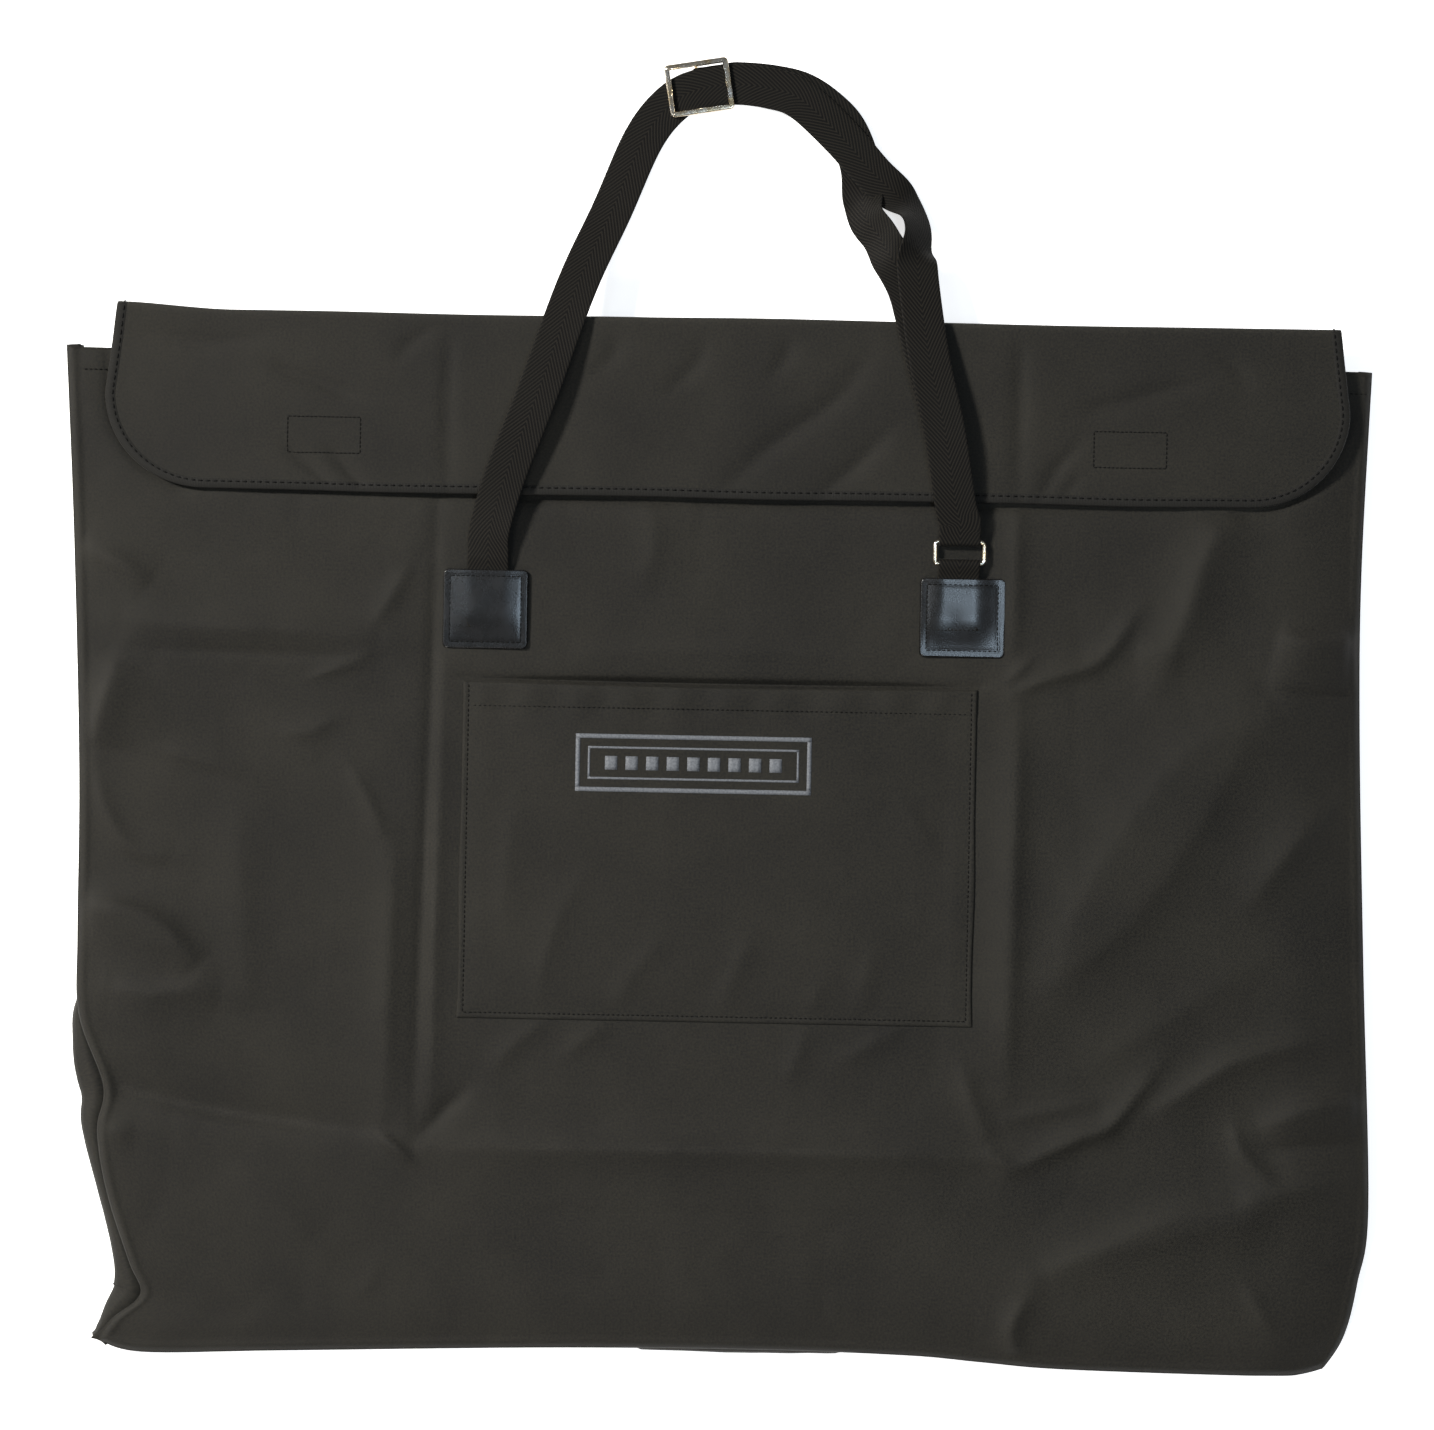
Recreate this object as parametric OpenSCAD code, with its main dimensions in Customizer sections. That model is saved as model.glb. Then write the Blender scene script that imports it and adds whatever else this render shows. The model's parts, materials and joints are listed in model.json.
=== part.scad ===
// A flat carrying case for one large canvas, lying on its back.
// X is its width, Y runs from its bottom to its mouth, and +Z comes out of its front.
// The origin is the centre of the back panel's outer face. All sizes are in millimetres.

/* [Case] */
// Width of the case
case_w = 950; // [920:10:1100]
// Height of the case from its bottom to its mouth
case_h = 735; // [700:5:900]
// Depth of the case as it lies
case_d = 26; // [22:1:40]
// Thickness of the coated cloth
cloth = 1.2; // [0.8:0.1:1.6]
// Width of the bias tape over the seams inside
seam_tape_w = 10; // [6:1:16]
// Distance from the mouth to its hem stitching
mouth_hem = 16; // [10:1:25]

/* [Flap] */
// Length of the leaf from the fold to its free edge
leaf_len = 133.5; // [110:0.5:133.5]
// Width of the flap at the fold
flap_fold_w = 892; // [800:2:900]
// Width of the flap above its round corners
flap_w = 908; // [800:2:920]
// Radius of the flap's two round corners
flap_corner_r = 72; // [40:1:80]
// Slope of the strip between the back panel and the fold, in degrees
strip_slope = 42; // [40:1:50]
// Width of the binding round the flap's edge
flap_tape_w = 7; // [5:0.5:10]

/* [Closure] */
// Width of each hook and loop tape
tape_w = 56; // [40:1:70]
// Height of each hook and loop tape
tape_h = 30; // [20:1:40]
// Distance of the tapes from the middle of the case
tape_x = 294; // [240:1:340]

/* [Pocket] */
// Width of the front pocket
pocket_w = 375; // [250:5:420]
// Height of the front pocket
pocket_h = 246; // [150:2:280]
// Distance from the mouth of the case to the mouth of the pocket
pocket_drop = 238.5; // [230:0.5:260]
// Depth of the pocket as it lies
pocket_d = 7; // [6.8:0.2:10]
// Distance from the pocket's mouth to its hem stitching
pocket_hem = 18; // [10:1:25]

/* [Strap] */
// Width of the webbing
webbing_w = 30; // [28:1:31]
// Thickness of the webbing
webbing_t = 1.4; // [1:0.1:1.6]
// Distance of each leather patch from the middle of the case
anchor_x = 174; // [174:1:176]
// Width of each leather patch
patch_w = 62; // [50:1:70]
// Height of each leather patch
patch_h = 58; // [50:1:60]
// Distance from the mouth of the case to the ring's lower bar
ring_drop = 146.5; // [146:0.5:148]
// Height of the slack strap above the floor at its highest
strap_peak = 41; // [38:1:60]

/* [Hardware] */
// Outer width of the ring
ring_w = 39; // [38:0.5:44]
// Outer height of the ring
ring_h = 19; // [18:0.5:19]
// Diameter of the ring's wire
ring_wire = 3.2; // [2.8:0.1:3.2]
// Outer length of the slider
slider_w = 47.5; // [40:0.5:48]
// Outer height of the slider
slider_h = 38.7; // [38:0.1:39]
// Width of the slider's bars
slider_bar = 4; // [3:0.1:4]
// Turn of the slider from the case's width, in degrees
slider_turn = 9.6; // [8:0.1:10]

/* [Hidden] */
$fn = 48;

// Colours
nylon = [0.20, 0.19, 0.18];
tape_black = [0.14, 0.14, 0.14];
thread_black = [0.08, 0.08, 0.08];
leather_black = [0.12, 0.12, 0.13];
webbing_black = [0.16, 0.16, 0.14];
nickel = [0.80, 0.79, 0.76];

// Clearances
body_gap = 0.4;      // between cloth that moves and cloth that doesn't
layer_gap = 0.5;     // between two layers of webbing
bend_gap = 2.2;      // from the fold's axis to the end of the strip
eps = 0.02;          // overlap that joins two shapes of one solid

// Case
half_w = case_w / 2;
half_h = case_h / 2;
mouth_y = half_h;
front_z = case_d;
seam_tape_t = 1;
stitch_w = 0.8;
stitch_t = 0.3;

// Pocket
pocket_x = -1.5;
pocket_top = mouth_y - pocket_drop;
pocket_bottom = pocket_top - pocket_h;
pocket_face = front_z + pocket_d;
pocket_stitch_inset = 4;

// Closure
tape_t = 1;
tape_y = mouth_y - 60;
tape_stitch_inset = 1.5;

// Flap: the strip turns about root_*, and the leaf turns about fold_*
root_y = mouth_y + body_gap + cloth / 2;
root_z = cloth / 2 + body_gap;
leaf_low_z = front_z + 2 * tape_t + 0.3;
fold_z = leaf_low_z + cloth / 2;
strip_len = (fold_z - root_z) / sin(strip_slope);
fold_y = root_y + strip_len * cos(strip_slope);
leaf_top_z = fold_z + cloth / 2;
flap_tape_t = 0.5;

// Ring: its lower bar is the axis that the strap swings about
ring_y = mouth_y - ring_drop;
ring_bar_r = ring_wire / 2;
turn_inner_r = ring_bar_r + 0.1;
turn_outer_r = turn_inner_r + webbing_t;
ring_z = front_z + body_gap + turn_outer_r;
ring_x = anchor_x - 3;
ring_top_y = ring_y + ring_h - ring_wire;
tab_outer_r = ring_z - front_z;
tab_inner_r = tab_outer_r - webbing_t;

// Leather patches
patch_t = 1.2;
patch_top = ring_y - 10.5;
patch_y = patch_top - patch_h / 2;
patch_corner_r = 4;
patch_stitch_inset = 5;
patch_rise_w = webbing_w + 6;
patch_margin = 9;
sewn_x = -anchor_x + 1.5;
sewn_len = 44;

// Slider: centre bar, webbing layers and frame, from the floor up
slider_pos = [-25.4, 567.6];
rod_r = 1.1;
loop_inner_r = rod_r + 0.05;
loop_outer_r = loop_inner_r + webbing_t;
rod_z = 0.9 + loop_outer_r;
return_low_z = rod_z + loop_inner_r + webbing_t / 2;
layer_pitch = webbing_t + layer_gap;
main_low_z = return_low_z + layer_pitch;
slider_z = main_low_z + webbing_t / 2 + body_gap;
slider_t = 3.2;
slider_corner_r = 2.5;
loop_top_len = 15;
loop_tail_len = 22;

// The strap's route seen from the front. The main run goes from the left patch up through the
// slider and down to the ring. The return run comes back from the ring to the slider.
peak_y = 335;
low_y = 552;
main_start = [[sewn_x, ring_y], [-171.5, 240], [-161, 278], [-138, 340], [-111, 420], [-88, 474]];
main_arch = [[-66, 528], [-46, 555], [-25.4, 566.5], [2, 569], [27, 566], [50, 560], [82, 534]];
main_end = [[122, 487.5], [134, 455], [137, 415], [146, 367.5], [158, 315.5], [167, 264]];
ring_end = [for (above = [14, 7, 0]) [ring_x, ring_top_y + above]];
main_route = concat(main_start, main_arch, main_end, ring_end);
slider_dir = [cos(slider_turn), sin(slider_turn)];
return_start = [for (beyond = [0.2, 7, 14]) slider_pos + (loop_top_len + beyond) * slider_dir];
return_arch = [[27, 573], [50, 570], [70, 557], [84, 539], [96, 512], [99, 486]];
return_end = [[102, 467], [116, 444], [129, 422], [136, 398], [144, 367.5], [158, 315.5], [167, 264]];
return_route = concat(return_start, return_arch, return_end, ring_end);
route_steps = 4;

// A smooth curve through points a, b, c, d, at share t of the way from b to c
function curve(a, b, c, d, t) =
    b + (c - a) * t / 2
    + (2 * a - 5 * b + 4 * c - d) * t * t / 2
    + (3 * b - a - 3 * c + d) * t * t * t / 2;

// A smooth route through all the points, with route_steps pieces between each two
function smooth(points) =
    let (last = len(points) - 1)
    [
        for (i = [0 : last - 1], k = [0 : route_steps - 1])
            curve(
                i == 0 ? 2 * points[0] - points[1] : points[i - 1],
                points[i],
                points[i + 1],
                i + 1 == last ? 2 * points[last] - points[last - 1] : points[i + 2],
                k / route_steps
            ),
        points[last]
    ];

// The direction across a route at its point i, as a unit vector
function across(route, i) =
    let (
        ahead = route[min(i + 1, len(route) - 1)],
        behind = route[max(i - 1, 0)],
        along = (ahead - behind) / norm(ahead - behind)
    )
    [along.y, -along.x];

// The height of the slack strap: it rises from its anchor to its peak and comes down beyond the flap
function slack(y, start_y, start_z, peak_z) =
    y < peak_y
        ? start_z + (peak_z - start_z) * sin(90 * max(y - start_y, 0) / (peak_y - start_y))
        : main_low_z + (peak_z - main_low_z) * (1 + cos(180 * min((y - peak_y) / (low_y - peak_y), 1))) / 2;

// On the left the main run starts at the patch, and on the right it ends on top of the ring's upper bar
main_height = function(p)
    p.x < 0
        ? slack(p.y, ring_y, ring_z, strap_peak - 1)
        : slack(p.y, ring_top_y, ring_z + turn_inner_r + webbing_t / 2, strap_peak + 1);

// The return run lies under the main run, and starts under the ring's upper bar
ring_layers = 2 * turn_inner_r + webbing_t;
settle_len = 25;
return_height = function(p)
    let (
        share = min(max((p.y - ring_top_y) / settle_len, 0), 1),
        eased = share * share * (3 - 2 * share)
    )
    main_height([1, p.y]) - (ring_layers + (layer_pitch - ring_layers) * eased);

// ---- Shared shapes ----

// A flat box from its low corner
module slab(low, size) {
    translate(low)
        cube(size);
}

// A straight line of stitching from point a to point b at height z
module stitch_line(a, b, z) {
    along = b - a;
    translate([a.x, a.y, z])
        rotate(atan2(along.y, along.x))
            translate([0, -stitch_w / 2, 0])
                cube([norm(along), stitch_w, stitch_t]);
}

// A closed box of stitching, w by h, round a centre
module stitch_box(centre, w, h, z) {
    translate([centre.x, centre.y, z])
        linear_extrude(stitch_t)
            difference() {
                square([w + stitch_w, h + stitch_w], center = true);
                square([w - stitch_w, h - stitch_w], center = true);
            }
}

// A rectangle with round corners
module round_rect(w, h, r) {
    union() {
        square([w - 2 * r, h], center = true);
        square([w, h - 2 * r], center = true);
        for (x = [-1, 1], y = [-1, 1])
            translate([x * (w / 2 - r), y * (h / 2 - r)])
                circle(r);
    }
}

// Flat webbing along a route, at the height that the function gives
module ribbon(points, height) {
    route = smooth(points);
    count = len(route);
    corners = [
        for (i = [0 : count - 1])
            let (
                side = across(route, i) * webbing_w / 2,
                left = route[i] - side,
                right = route[i] + side,
                left_z = height(left),
                right_z = height(right),
                half = webbing_t / 2
            )
            each [
                [left.x, left.y, left_z - half],
                [right.x, right.y, right_z - half],
                [right.x, right.y, right_z + half],
                [left.x, left.y, left_z + half]
            ]
    ];
    walls = [
        for (i = [0 : count - 2], k = [0 : 3])
            let (
                a = 4 * i + k,
                b = 4 * i + (k + 1) % 4
            )
            each [[a, b, b + 4], [a, b + 4, a + 4]]
    ];
    last = 4 * (count - 1);
    ends = [[0, 2, 1], [0, 3, 2], [last, last + 1, last + 2], [last, last + 2, last + 3]];
    polyhedron(points = corners, faces = concat(walls, ends));
}

// ---- Case ----

module back_panel() {
    color(nylon)
        slab([-half_w, -half_h, 0], [case_w, case_h, cloth]);
}

module front_panel() {
    color(nylon)
        slab([-half_w, -half_h, front_z - cloth], [case_w, case_h, cloth]);
}

module side_gusset(side) {
    color(nylon)
        translate([side * (half_w - cloth / 2), 0, front_z / 2])
            cube([cloth, case_h, front_z - 2 * cloth], center = true);
}

module bottom_gusset() {
    color(nylon)
        slab([-half_w + cloth, -half_h, cloth], [case_w - 2 * cloth, cloth, front_z - 2 * cloth]);
}

// Bias tape along the sides and the bottom, inside the case
module seam_binding(z) {
    color(tape_black)
        difference() {
            slab([-half_w + cloth, -half_h + cloth, z], [case_w - 2 * cloth, case_h - cloth, seam_tape_t]);
            slab(
                [-half_w + cloth + seam_tape_w, -half_h + cloth + seam_tape_w, z - 1],
                [case_w - 2 * cloth - 2 * seam_tape_w, case_h, seam_tape_t + 2]
            );
        }
}

module mouth_hem_stitching() {
    color(thread_black)
        stitch_line([-half_w + 2, mouth_y - mouth_hem], [half_w - 2, mouth_y - mouth_hem], front_z);
}

// ---- Pocket ----

module front_pocket() {
    left = pocket_x - pocket_w / 2;
    color(nylon)
        difference() {
            slab([left, pocket_bottom, front_z], [pocket_w, pocket_h, pocket_d]);
            slab(
                [left + cloth, pocket_bottom + cloth, front_z - 1],
                [pocket_w - 2 * cloth, pocket_h, pocket_d - cloth + 1]
            );
        }
}

// One row along the pocket's bottom and sides
module pocket_stitching() {
    left = pocket_x - pocket_w / 2 + pocket_stitch_inset;
    right = pocket_x + pocket_w / 2 - pocket_stitch_inset;
    low = pocket_bottom + pocket_stitch_inset;
    color(thread_black)
        translate([0, 0, pocket_face])
            linear_extrude(stitch_t)
                difference() {
                    translate([left, low])
                        square([right - left, pocket_top - low]);
                    translate([left + stitch_w, low + stitch_w])
                        square([right - left - 2 * stitch_w, pocket_h]);
                }
}

module pocket_hem_stitching() {
    left = pocket_x - pocket_w / 2 + pocket_stitch_inset + stitch_w;
    right = pocket_x + pocket_w / 2 - pocket_stitch_inset - stitch_w;
    y = pocket_top - pocket_hem;
    color(thread_black)
        stitch_line([left, y], [right, y], pocket_face);
}

// ---- Closure ----

module tape_patch(side, z) {
    color(tape_black)
        translate([side * tape_x, tape_y, z])
            linear_extrude(tape_t)
                square([tape_w, tape_h], center = true);
}

module hook_patch_stitching() {
    color(thread_black)
        for (side = [-1, 1])
            stitch_box(
                [side * tape_x, tape_y],
                tape_w - 2 * tape_stitch_inset,
                tape_h - 2 * tape_stitch_inset,
                leaf_top_z
            );
}

// ---- Flap ----

// The strip from the back panel's edge up to the fold, with a round edge on its turning axis
module flap_top_strip() {
    color(nylon)
        translate([0, root_y, root_z])
            rotate([strip_slope, 0, 0]) {
                slab([-flap_fold_w / 2, 0, -cloth / 2], [flap_fold_w, strip_len - bend_gap, cloth]);
                rotate([0, 90, 0])
                    cylinder(h = flap_fold_w, r = cloth / 2, center = true);
            }
}

// The outline of the leaf, inset all round but at the fold
module leaf_outline(inset) {
    low = fold_y - leaf_len + inset;
    half_low = flap_w / 2 - inset;
    half_top = flap_fold_w / 2 - inset;
    r = flap_corner_r - inset;
    shoulder = low + r;
    intersection() {
        union() {
            polygon([
                [-half_top, fold_y], [-half_low, shoulder], [half_low, shoulder], [half_top, fold_y]
            ]);
            translate([-half_low + r, low])
                square([2 * (half_low - r), r + eps]);
            for (side = [-1, 1])
                translate([side * (half_low - r), shoulder])
                    circle(r, $fn = 96);
        }
        translate([-half_low, low])
            square([2 * half_low, fold_y - low]);
    }
}

module flap_leaf() {
    color(nylon) {
        translate([0, 0, leaf_low_z])
            linear_extrude(cloth)
                leaf_outline(0);
        translate([0, fold_y, fold_z])
            rotate([0, 90, 0])
                cylinder(h = flap_fold_w, r = cloth / 2, center = true);
    }
}

module flap_edge_binding() {
    color(tape_black)
        translate([0, 0, leaf_top_z])
            linear_extrude(flap_tape_t)
                difference() {
                    leaf_outline(0);
                    leaf_outline(flap_tape_w);
                    translate([-flap_w, fold_y - bend_gap])
                        square([2 * flap_w, bend_gap + 1]);
                    translate([-flap_fold_w / 2 + flap_tape_w, fold_y - bend_gap - 1])
                        square([flap_fold_w - 2 * flap_tape_w, bend_gap + 2]);
                }
}

module flap_edge_stitching() {
    stitch_inset = flap_tape_w - 2;
    color(thread_black)
        translate([0, 0, leaf_top_z + flap_tape_t])
            linear_extrude(stitch_t)
                difference() {
                    leaf_outline(stitch_inset);
                    leaf_outline(stitch_inset + stitch_w);
                    translate([-flap_w, fold_y - bend_gap - 2])
                        square([2 * flap_w, bend_gap + 3]);
                }
}

// ---- Leather patches ----

// A patch moulded over the webbing, which lies under it in so many layers
module anchor_patch(side, webbing_x, layers) {
    rise = layers * webbing_t;
    x = side * anchor_x;
    color(leather_black)
        difference() {
            union() {
                translate([x, patch_y, front_z])
                    linear_extrude(patch_t)
                        round_rect(patch_w, patch_h, patch_corner_r);
                slab(
                    [webbing_x - patch_rise_w / 2, patch_y - patch_h / 2 + patch_margin, front_z],
                    [patch_rise_w, patch_h - patch_margin, rise + patch_t]
                );
            }
            slab(
                [webbing_x - webbing_w / 2, patch_top - sewn_len, front_z - 1],
                [webbing_w, sewn_len + 1, rise + 1]
            );
        }
}

// The stitching crosses the raised webbing along the patch's top edge
module patch_stitching(side, webbing_x, layers) {
    x = side * anchor_x;
    half_x = patch_w / 2 - patch_stitch_inset;
    half_y = patch_h / 2 - patch_stitch_inset;
    top = patch_y + half_y;
    low = patch_y - half_y;
    plate_z = front_z + patch_t;
    rise_z = plate_z + layers * webbing_t;
    rise_left = webbing_x - patch_rise_w / 2;
    rise_right = webbing_x + patch_rise_w / 2;
    color(thread_black) {
        stitch_line([x - half_x, low], [x + half_x, low], plate_z);
        for (edge = [-1, 1])
            stitch_line([x + edge * half_x, low], [x + edge * half_x, top], plate_z);
        stitch_line([x - half_x, top], [rise_left, top], plate_z);
        stitch_line([rise_right, top], [x + half_x, top], plate_z);
        stitch_line([rise_left, top], [rise_right, top], rise_z);
    }
}

// ---- Strap and its hardware ----

// Extrudes a side profile, drawn as [y, z], across the width of the webbing at x
module across_webbing(x) {
    translate([x - webbing_w / 2, 0, 0])
        rotate([90, 0, 90])
            linear_extrude(webbing_w)
                children();
}

// The end of the strap, sewn under the left patch and rising to where the strap starts to swing
module strap_sewn_end() {
    end_y = ring_y - 2;
    lift = 1.3;
    color(webbing_black)
        across_webbing(sewn_x)
            polygon([
                [patch_top - sewn_len, front_z],
                [patch_top, front_z],
                [end_y, front_z + lift],
                [end_y, front_z + lift + webbing_t],
                [patch_top, front_z + webbing_t],
                [patch_top - sewn_len, front_z + webbing_t]
            ]);
}

// A loop of webbing round the ring's lower bar, with both ends under the right patch
module ring_tab() {
    color(webbing_black)
        across_webbing(ring_x)
            difference() {
                union() {
                    translate([ring_y, ring_z])
                        circle(tab_outer_r);
                    polygon([
                        [patch_top - sewn_len, front_z],
                        [ring_y, front_z],
                        [ring_y, front_z + 2 * tab_outer_r],
                        [patch_top, front_z + 2 * webbing_t],
                        [patch_top - sewn_len, front_z + 2 * webbing_t]
                    ]);
                }
                translate([ring_y, ring_z])
                    circle(tab_inner_r);
                polygon([
                    [ring_y, ring_z - tab_inner_r],
                    [ring_y, ring_z + tab_inner_r],
                    [patch_top + 2, front_z + webbing_t]
                ]);
            }
}

module strap_ring() {
    half = ring_w / 2 - ring_bar_r;
    color(nickel)
        translate([ring_x, 0, ring_z]) {
            for (y = [ring_y, ring_top_y])
                translate([0, y, 0])
                    rotate([0, 90, 0])
                        cylinder(h = 2 * half, r = ring_bar_r, center = true);
            for (side = [-1, 1])
                translate([side * half, ring_y, 0])
                    rotate([-90, 0, 0])
                        cylinder(h = ring_top_y - ring_y, r = ring_bar_r);
            for (side = [-1, 1], y = [ring_y, ring_top_y])
                translate([side * half, y, 0])
                    sphere(ring_bar_r);
        }
}

module strap_main_run() {
    color(webbing_black)
        ribbon(main_route, main_height);
}

module strap_return_run() {
    color(webbing_black)
        ribbon(return_route, return_height);
}

// The bend of the strap round the ring's upper bar
module strap_ring_turn() {
    color(webbing_black)
        across_webbing(ring_x)
            translate([ring_top_y, ring_z])
                difference() {
                    circle(turn_outer_r);
                    circle(turn_inner_r);
                    translate([0, -turn_outer_r - 1])
                        square(2 * turn_outer_r + 2);
                }
}

// Places slider parts: x along the strap, y across it
module at_slider() {
    translate([slider_pos.x, slider_pos.y, 0])
        rotate(slider_turn)
            children();
}

module slider_frame() {
    color(nickel)
        at_slider()
            translate([0, 0, slider_z])
                linear_extrude(slider_t)
                    difference() {
                        round_rect(slider_w, slider_h, slider_corner_r);
                        square([slider_w - 2 * slider_bar, slider_h - 2 * slider_bar], center = true);
                    }
}

// The rod that the webbing's end is sewn round, with a post at each end up to the frame
module slider_centre_bar() {
    post_y = slider_h / 2 - slider_bar / 2;
    color(nickel)
        at_slider() {
            translate([0, 0, rod_z])
                rotate([90, 0, 0])
                    cylinder(h = 2 * post_y, r = rod_r, center = true);
            for (side = [-1, 1])
                translate([0, side * post_y, rod_z - rod_r])
                    cylinder(h = slider_z - rod_z + rod_r, r = rod_r);
        }
}

// The far end of the strap, sewn round the centre bar
module strap_end_loop() {
    color(webbing_black)
        at_slider()
            translate([0, webbing_w / 2, rod_z])
                rotate([90, 0, 0])
                    linear_extrude(webbing_w) {
                        difference() {
                            circle(loop_outer_r);
                            circle(loop_inner_r);
                            translate([0, -loop_outer_r - 1])
                                square(2 * loop_outer_r + 2);
                        }
                        translate([-eps, loop_inner_r])
                            square([loop_top_len + eps, webbing_t]);
                        translate([-eps, -loop_outer_r])
                            square([loop_tail_len + eps, webbing_t]);
                    }
}

back_panel();
front_panel();
side_gusset(-1);  // side_gusset_left
side_gusset(1);  // side_gusset_right
bottom_gusset();
seam_binding(front_z - cloth - seam_tape_t);  // front_seam_binding
seam_binding(cloth);  // back_seam_binding
mouth_hem_stitching();
front_pocket();
pocket_stitching();
pocket_hem_stitching();
tape_patch(-1, front_z);  // loop_patch_left
tape_patch(1, front_z);  // loop_patch_right
anchor_patch(-1, sewn_x, 1);  // anchor_patch_left
anchor_patch(1, ring_x, 2);  // anchor_patch_right
patch_stitching(-1, sewn_x, 1);  // patch_stitching_left
patch_stitching(1, ring_x, 2);  // patch_stitching_right
strap_sewn_end();
ring_tab();
flap_top_strip();
flap_leaf();
flap_edge_binding();
flap_edge_stitching();
tape_patch(-1, leaf_low_z - tape_t);  // hook_patch_left
tape_patch(1, leaf_low_z - tape_t);  // hook_patch_right
hook_patch_stitching();
strap_main_run();
strap_ring_turn();
strap_return_run();
strap_ring();
slider_frame();
slider_centre_bar();
strap_end_loop();
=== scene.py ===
"""A soft nylon portfolio case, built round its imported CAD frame. Shapes are worked out in millimetres."""
import json
import math

import bpy
import numpy as np
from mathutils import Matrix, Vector


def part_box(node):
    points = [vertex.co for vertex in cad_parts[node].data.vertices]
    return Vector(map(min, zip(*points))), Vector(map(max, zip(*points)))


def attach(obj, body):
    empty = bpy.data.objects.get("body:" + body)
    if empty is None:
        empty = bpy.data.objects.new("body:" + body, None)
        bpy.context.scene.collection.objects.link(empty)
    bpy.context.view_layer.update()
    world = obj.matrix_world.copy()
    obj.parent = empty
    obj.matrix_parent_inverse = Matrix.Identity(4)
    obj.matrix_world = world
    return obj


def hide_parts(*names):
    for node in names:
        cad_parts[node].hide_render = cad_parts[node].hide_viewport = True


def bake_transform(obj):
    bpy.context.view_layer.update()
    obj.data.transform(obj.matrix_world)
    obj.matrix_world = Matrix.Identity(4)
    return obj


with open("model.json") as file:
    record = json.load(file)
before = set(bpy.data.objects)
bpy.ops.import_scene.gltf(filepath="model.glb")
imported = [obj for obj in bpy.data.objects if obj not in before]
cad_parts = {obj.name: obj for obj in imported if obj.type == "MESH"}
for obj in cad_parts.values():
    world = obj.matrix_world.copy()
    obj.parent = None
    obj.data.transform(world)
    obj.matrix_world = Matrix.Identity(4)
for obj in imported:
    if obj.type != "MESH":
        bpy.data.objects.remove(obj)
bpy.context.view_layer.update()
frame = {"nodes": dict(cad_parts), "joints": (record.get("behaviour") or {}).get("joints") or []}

MM = 0.001
UP = np.array([0.0, 0.0, 1.0])


def box_mm(node):
    """A CAD node's lowest and highest corner, in millimetres."""
    low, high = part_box(node)
    return np.array(low) / MM, np.array(high) / MM


def pair_mm(name):
    """The boxes of a left and a right CAD node."""
    return {side: box_mm(f"{name}_{side}") for side in ("left", "right")}


def centre_and_half(low, high):
    """The middle of a box, and half its size."""
    return (low + high) / 2, (high - low) / 2


# ---- Sizes taken from the frame ----

PANEL_LOW, PANEL_HIGH = box_mm("front_panel")
POCKET_LOW, POCKET_HIGH = box_mm("front_pocket")
LEAF_LOW, LEAF_HIGH = box_mm("flap_leaf")
STRIP_LOW, STRIP_HIGH = box_mm("flap_top_strip")
RING_LOW, RING_HIGH = box_mm("strap_ring")
SLIDER_LOW, SLIDER_HIGH = box_mm("slider_frame")
PATCHES = pair_mm("anchor_patch")
LOOPS = pair_mm("loop_patch")
HOOKS = pair_mm("hook_patch")
JOINTS = {joint["name"]: joint for joint in frame["joints"]}

HALF_W = PANEL_HIGH[0]
BOTTOM_Y, MOUTH_Y = PANEL_LOW[1], PANEL_HIGH[1]
FRONT_Z = PANEL_HIGH[2]
HEM_Y = box_mm("mouth_hem_stitching")[0][1]
# The cloth's thickness, and the height at which the back panel lies
CLOTH = 0.8
BACK_Z = 1.1


# ---- Curves and fields ----

def unit(vectors):
    """The same vectors at length one."""
    return vectors / np.linalg.norm(vectors, axis=-1, keepdims=True)


def curve_through(points, steps):
    """A smooth Catmull-Rom curve through the points, with this many steps between each two."""
    p = np.array(points, float)
    p = np.vstack([2 * p[0] - p[1], p, 2 * p[-1] - p[-2]])
    t = (np.arange(steps) / steps)[:, None]
    pieces = []
    for a, b, c, d in zip(p, p[1:], p[2:], p[3:]):
        pieces.append(
            b
            + (c - a) * t / 2
            + (2 * a - 5 * b + 4 * c - d) * t**2 / 2
            + (3 * b - a - 3 * c + d) * t**3 / 2
        )
    return np.vstack([*pieces, p[-2][None]])


def distance_along(points):
    """How far along a line each of its points is."""
    return np.concatenate([[0], np.cumsum(np.linalg.norm(np.diff(points, axis=0), axis=1))])


def resample(points, step):
    """The same line with its points this far apart, and the distance along it at each."""
    along = distance_along(points)
    at = np.linspace(0, along[-1], max(2, round(along[-1] / step) + 1))
    return np.stack([np.interp(at, along, column) for column in np.transpose(points)], axis=1), at


def smooth_step(low, high, value):
    """From 0 at low to 1 at high, with no kink at either."""
    t = np.clip((value - low) / (high - low), 0, 1)
    return t * t * (3 - 2 * t)


def bell(value, middle, width, power=2):
    """A hill of height one at the middle. A higher power gives it a flatter top."""
    return np.exp(-(((value - middle) / width) ** power))


def profile(points):
    """A smooth function of one number, through given (place, value) points."""
    line = curve_through(sorted(points), 8)
    return lambda at: np.interp(at, line[:, 0], line[:, 1])


def smoothed(values, count):
    """A running mean over this many neighbours."""
    return np.convolve(np.pad(values, count // 2, mode="edge"), np.ones(count) / count, "valid")


# The noise lattice's size in cells
CELLS = 64


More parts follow.
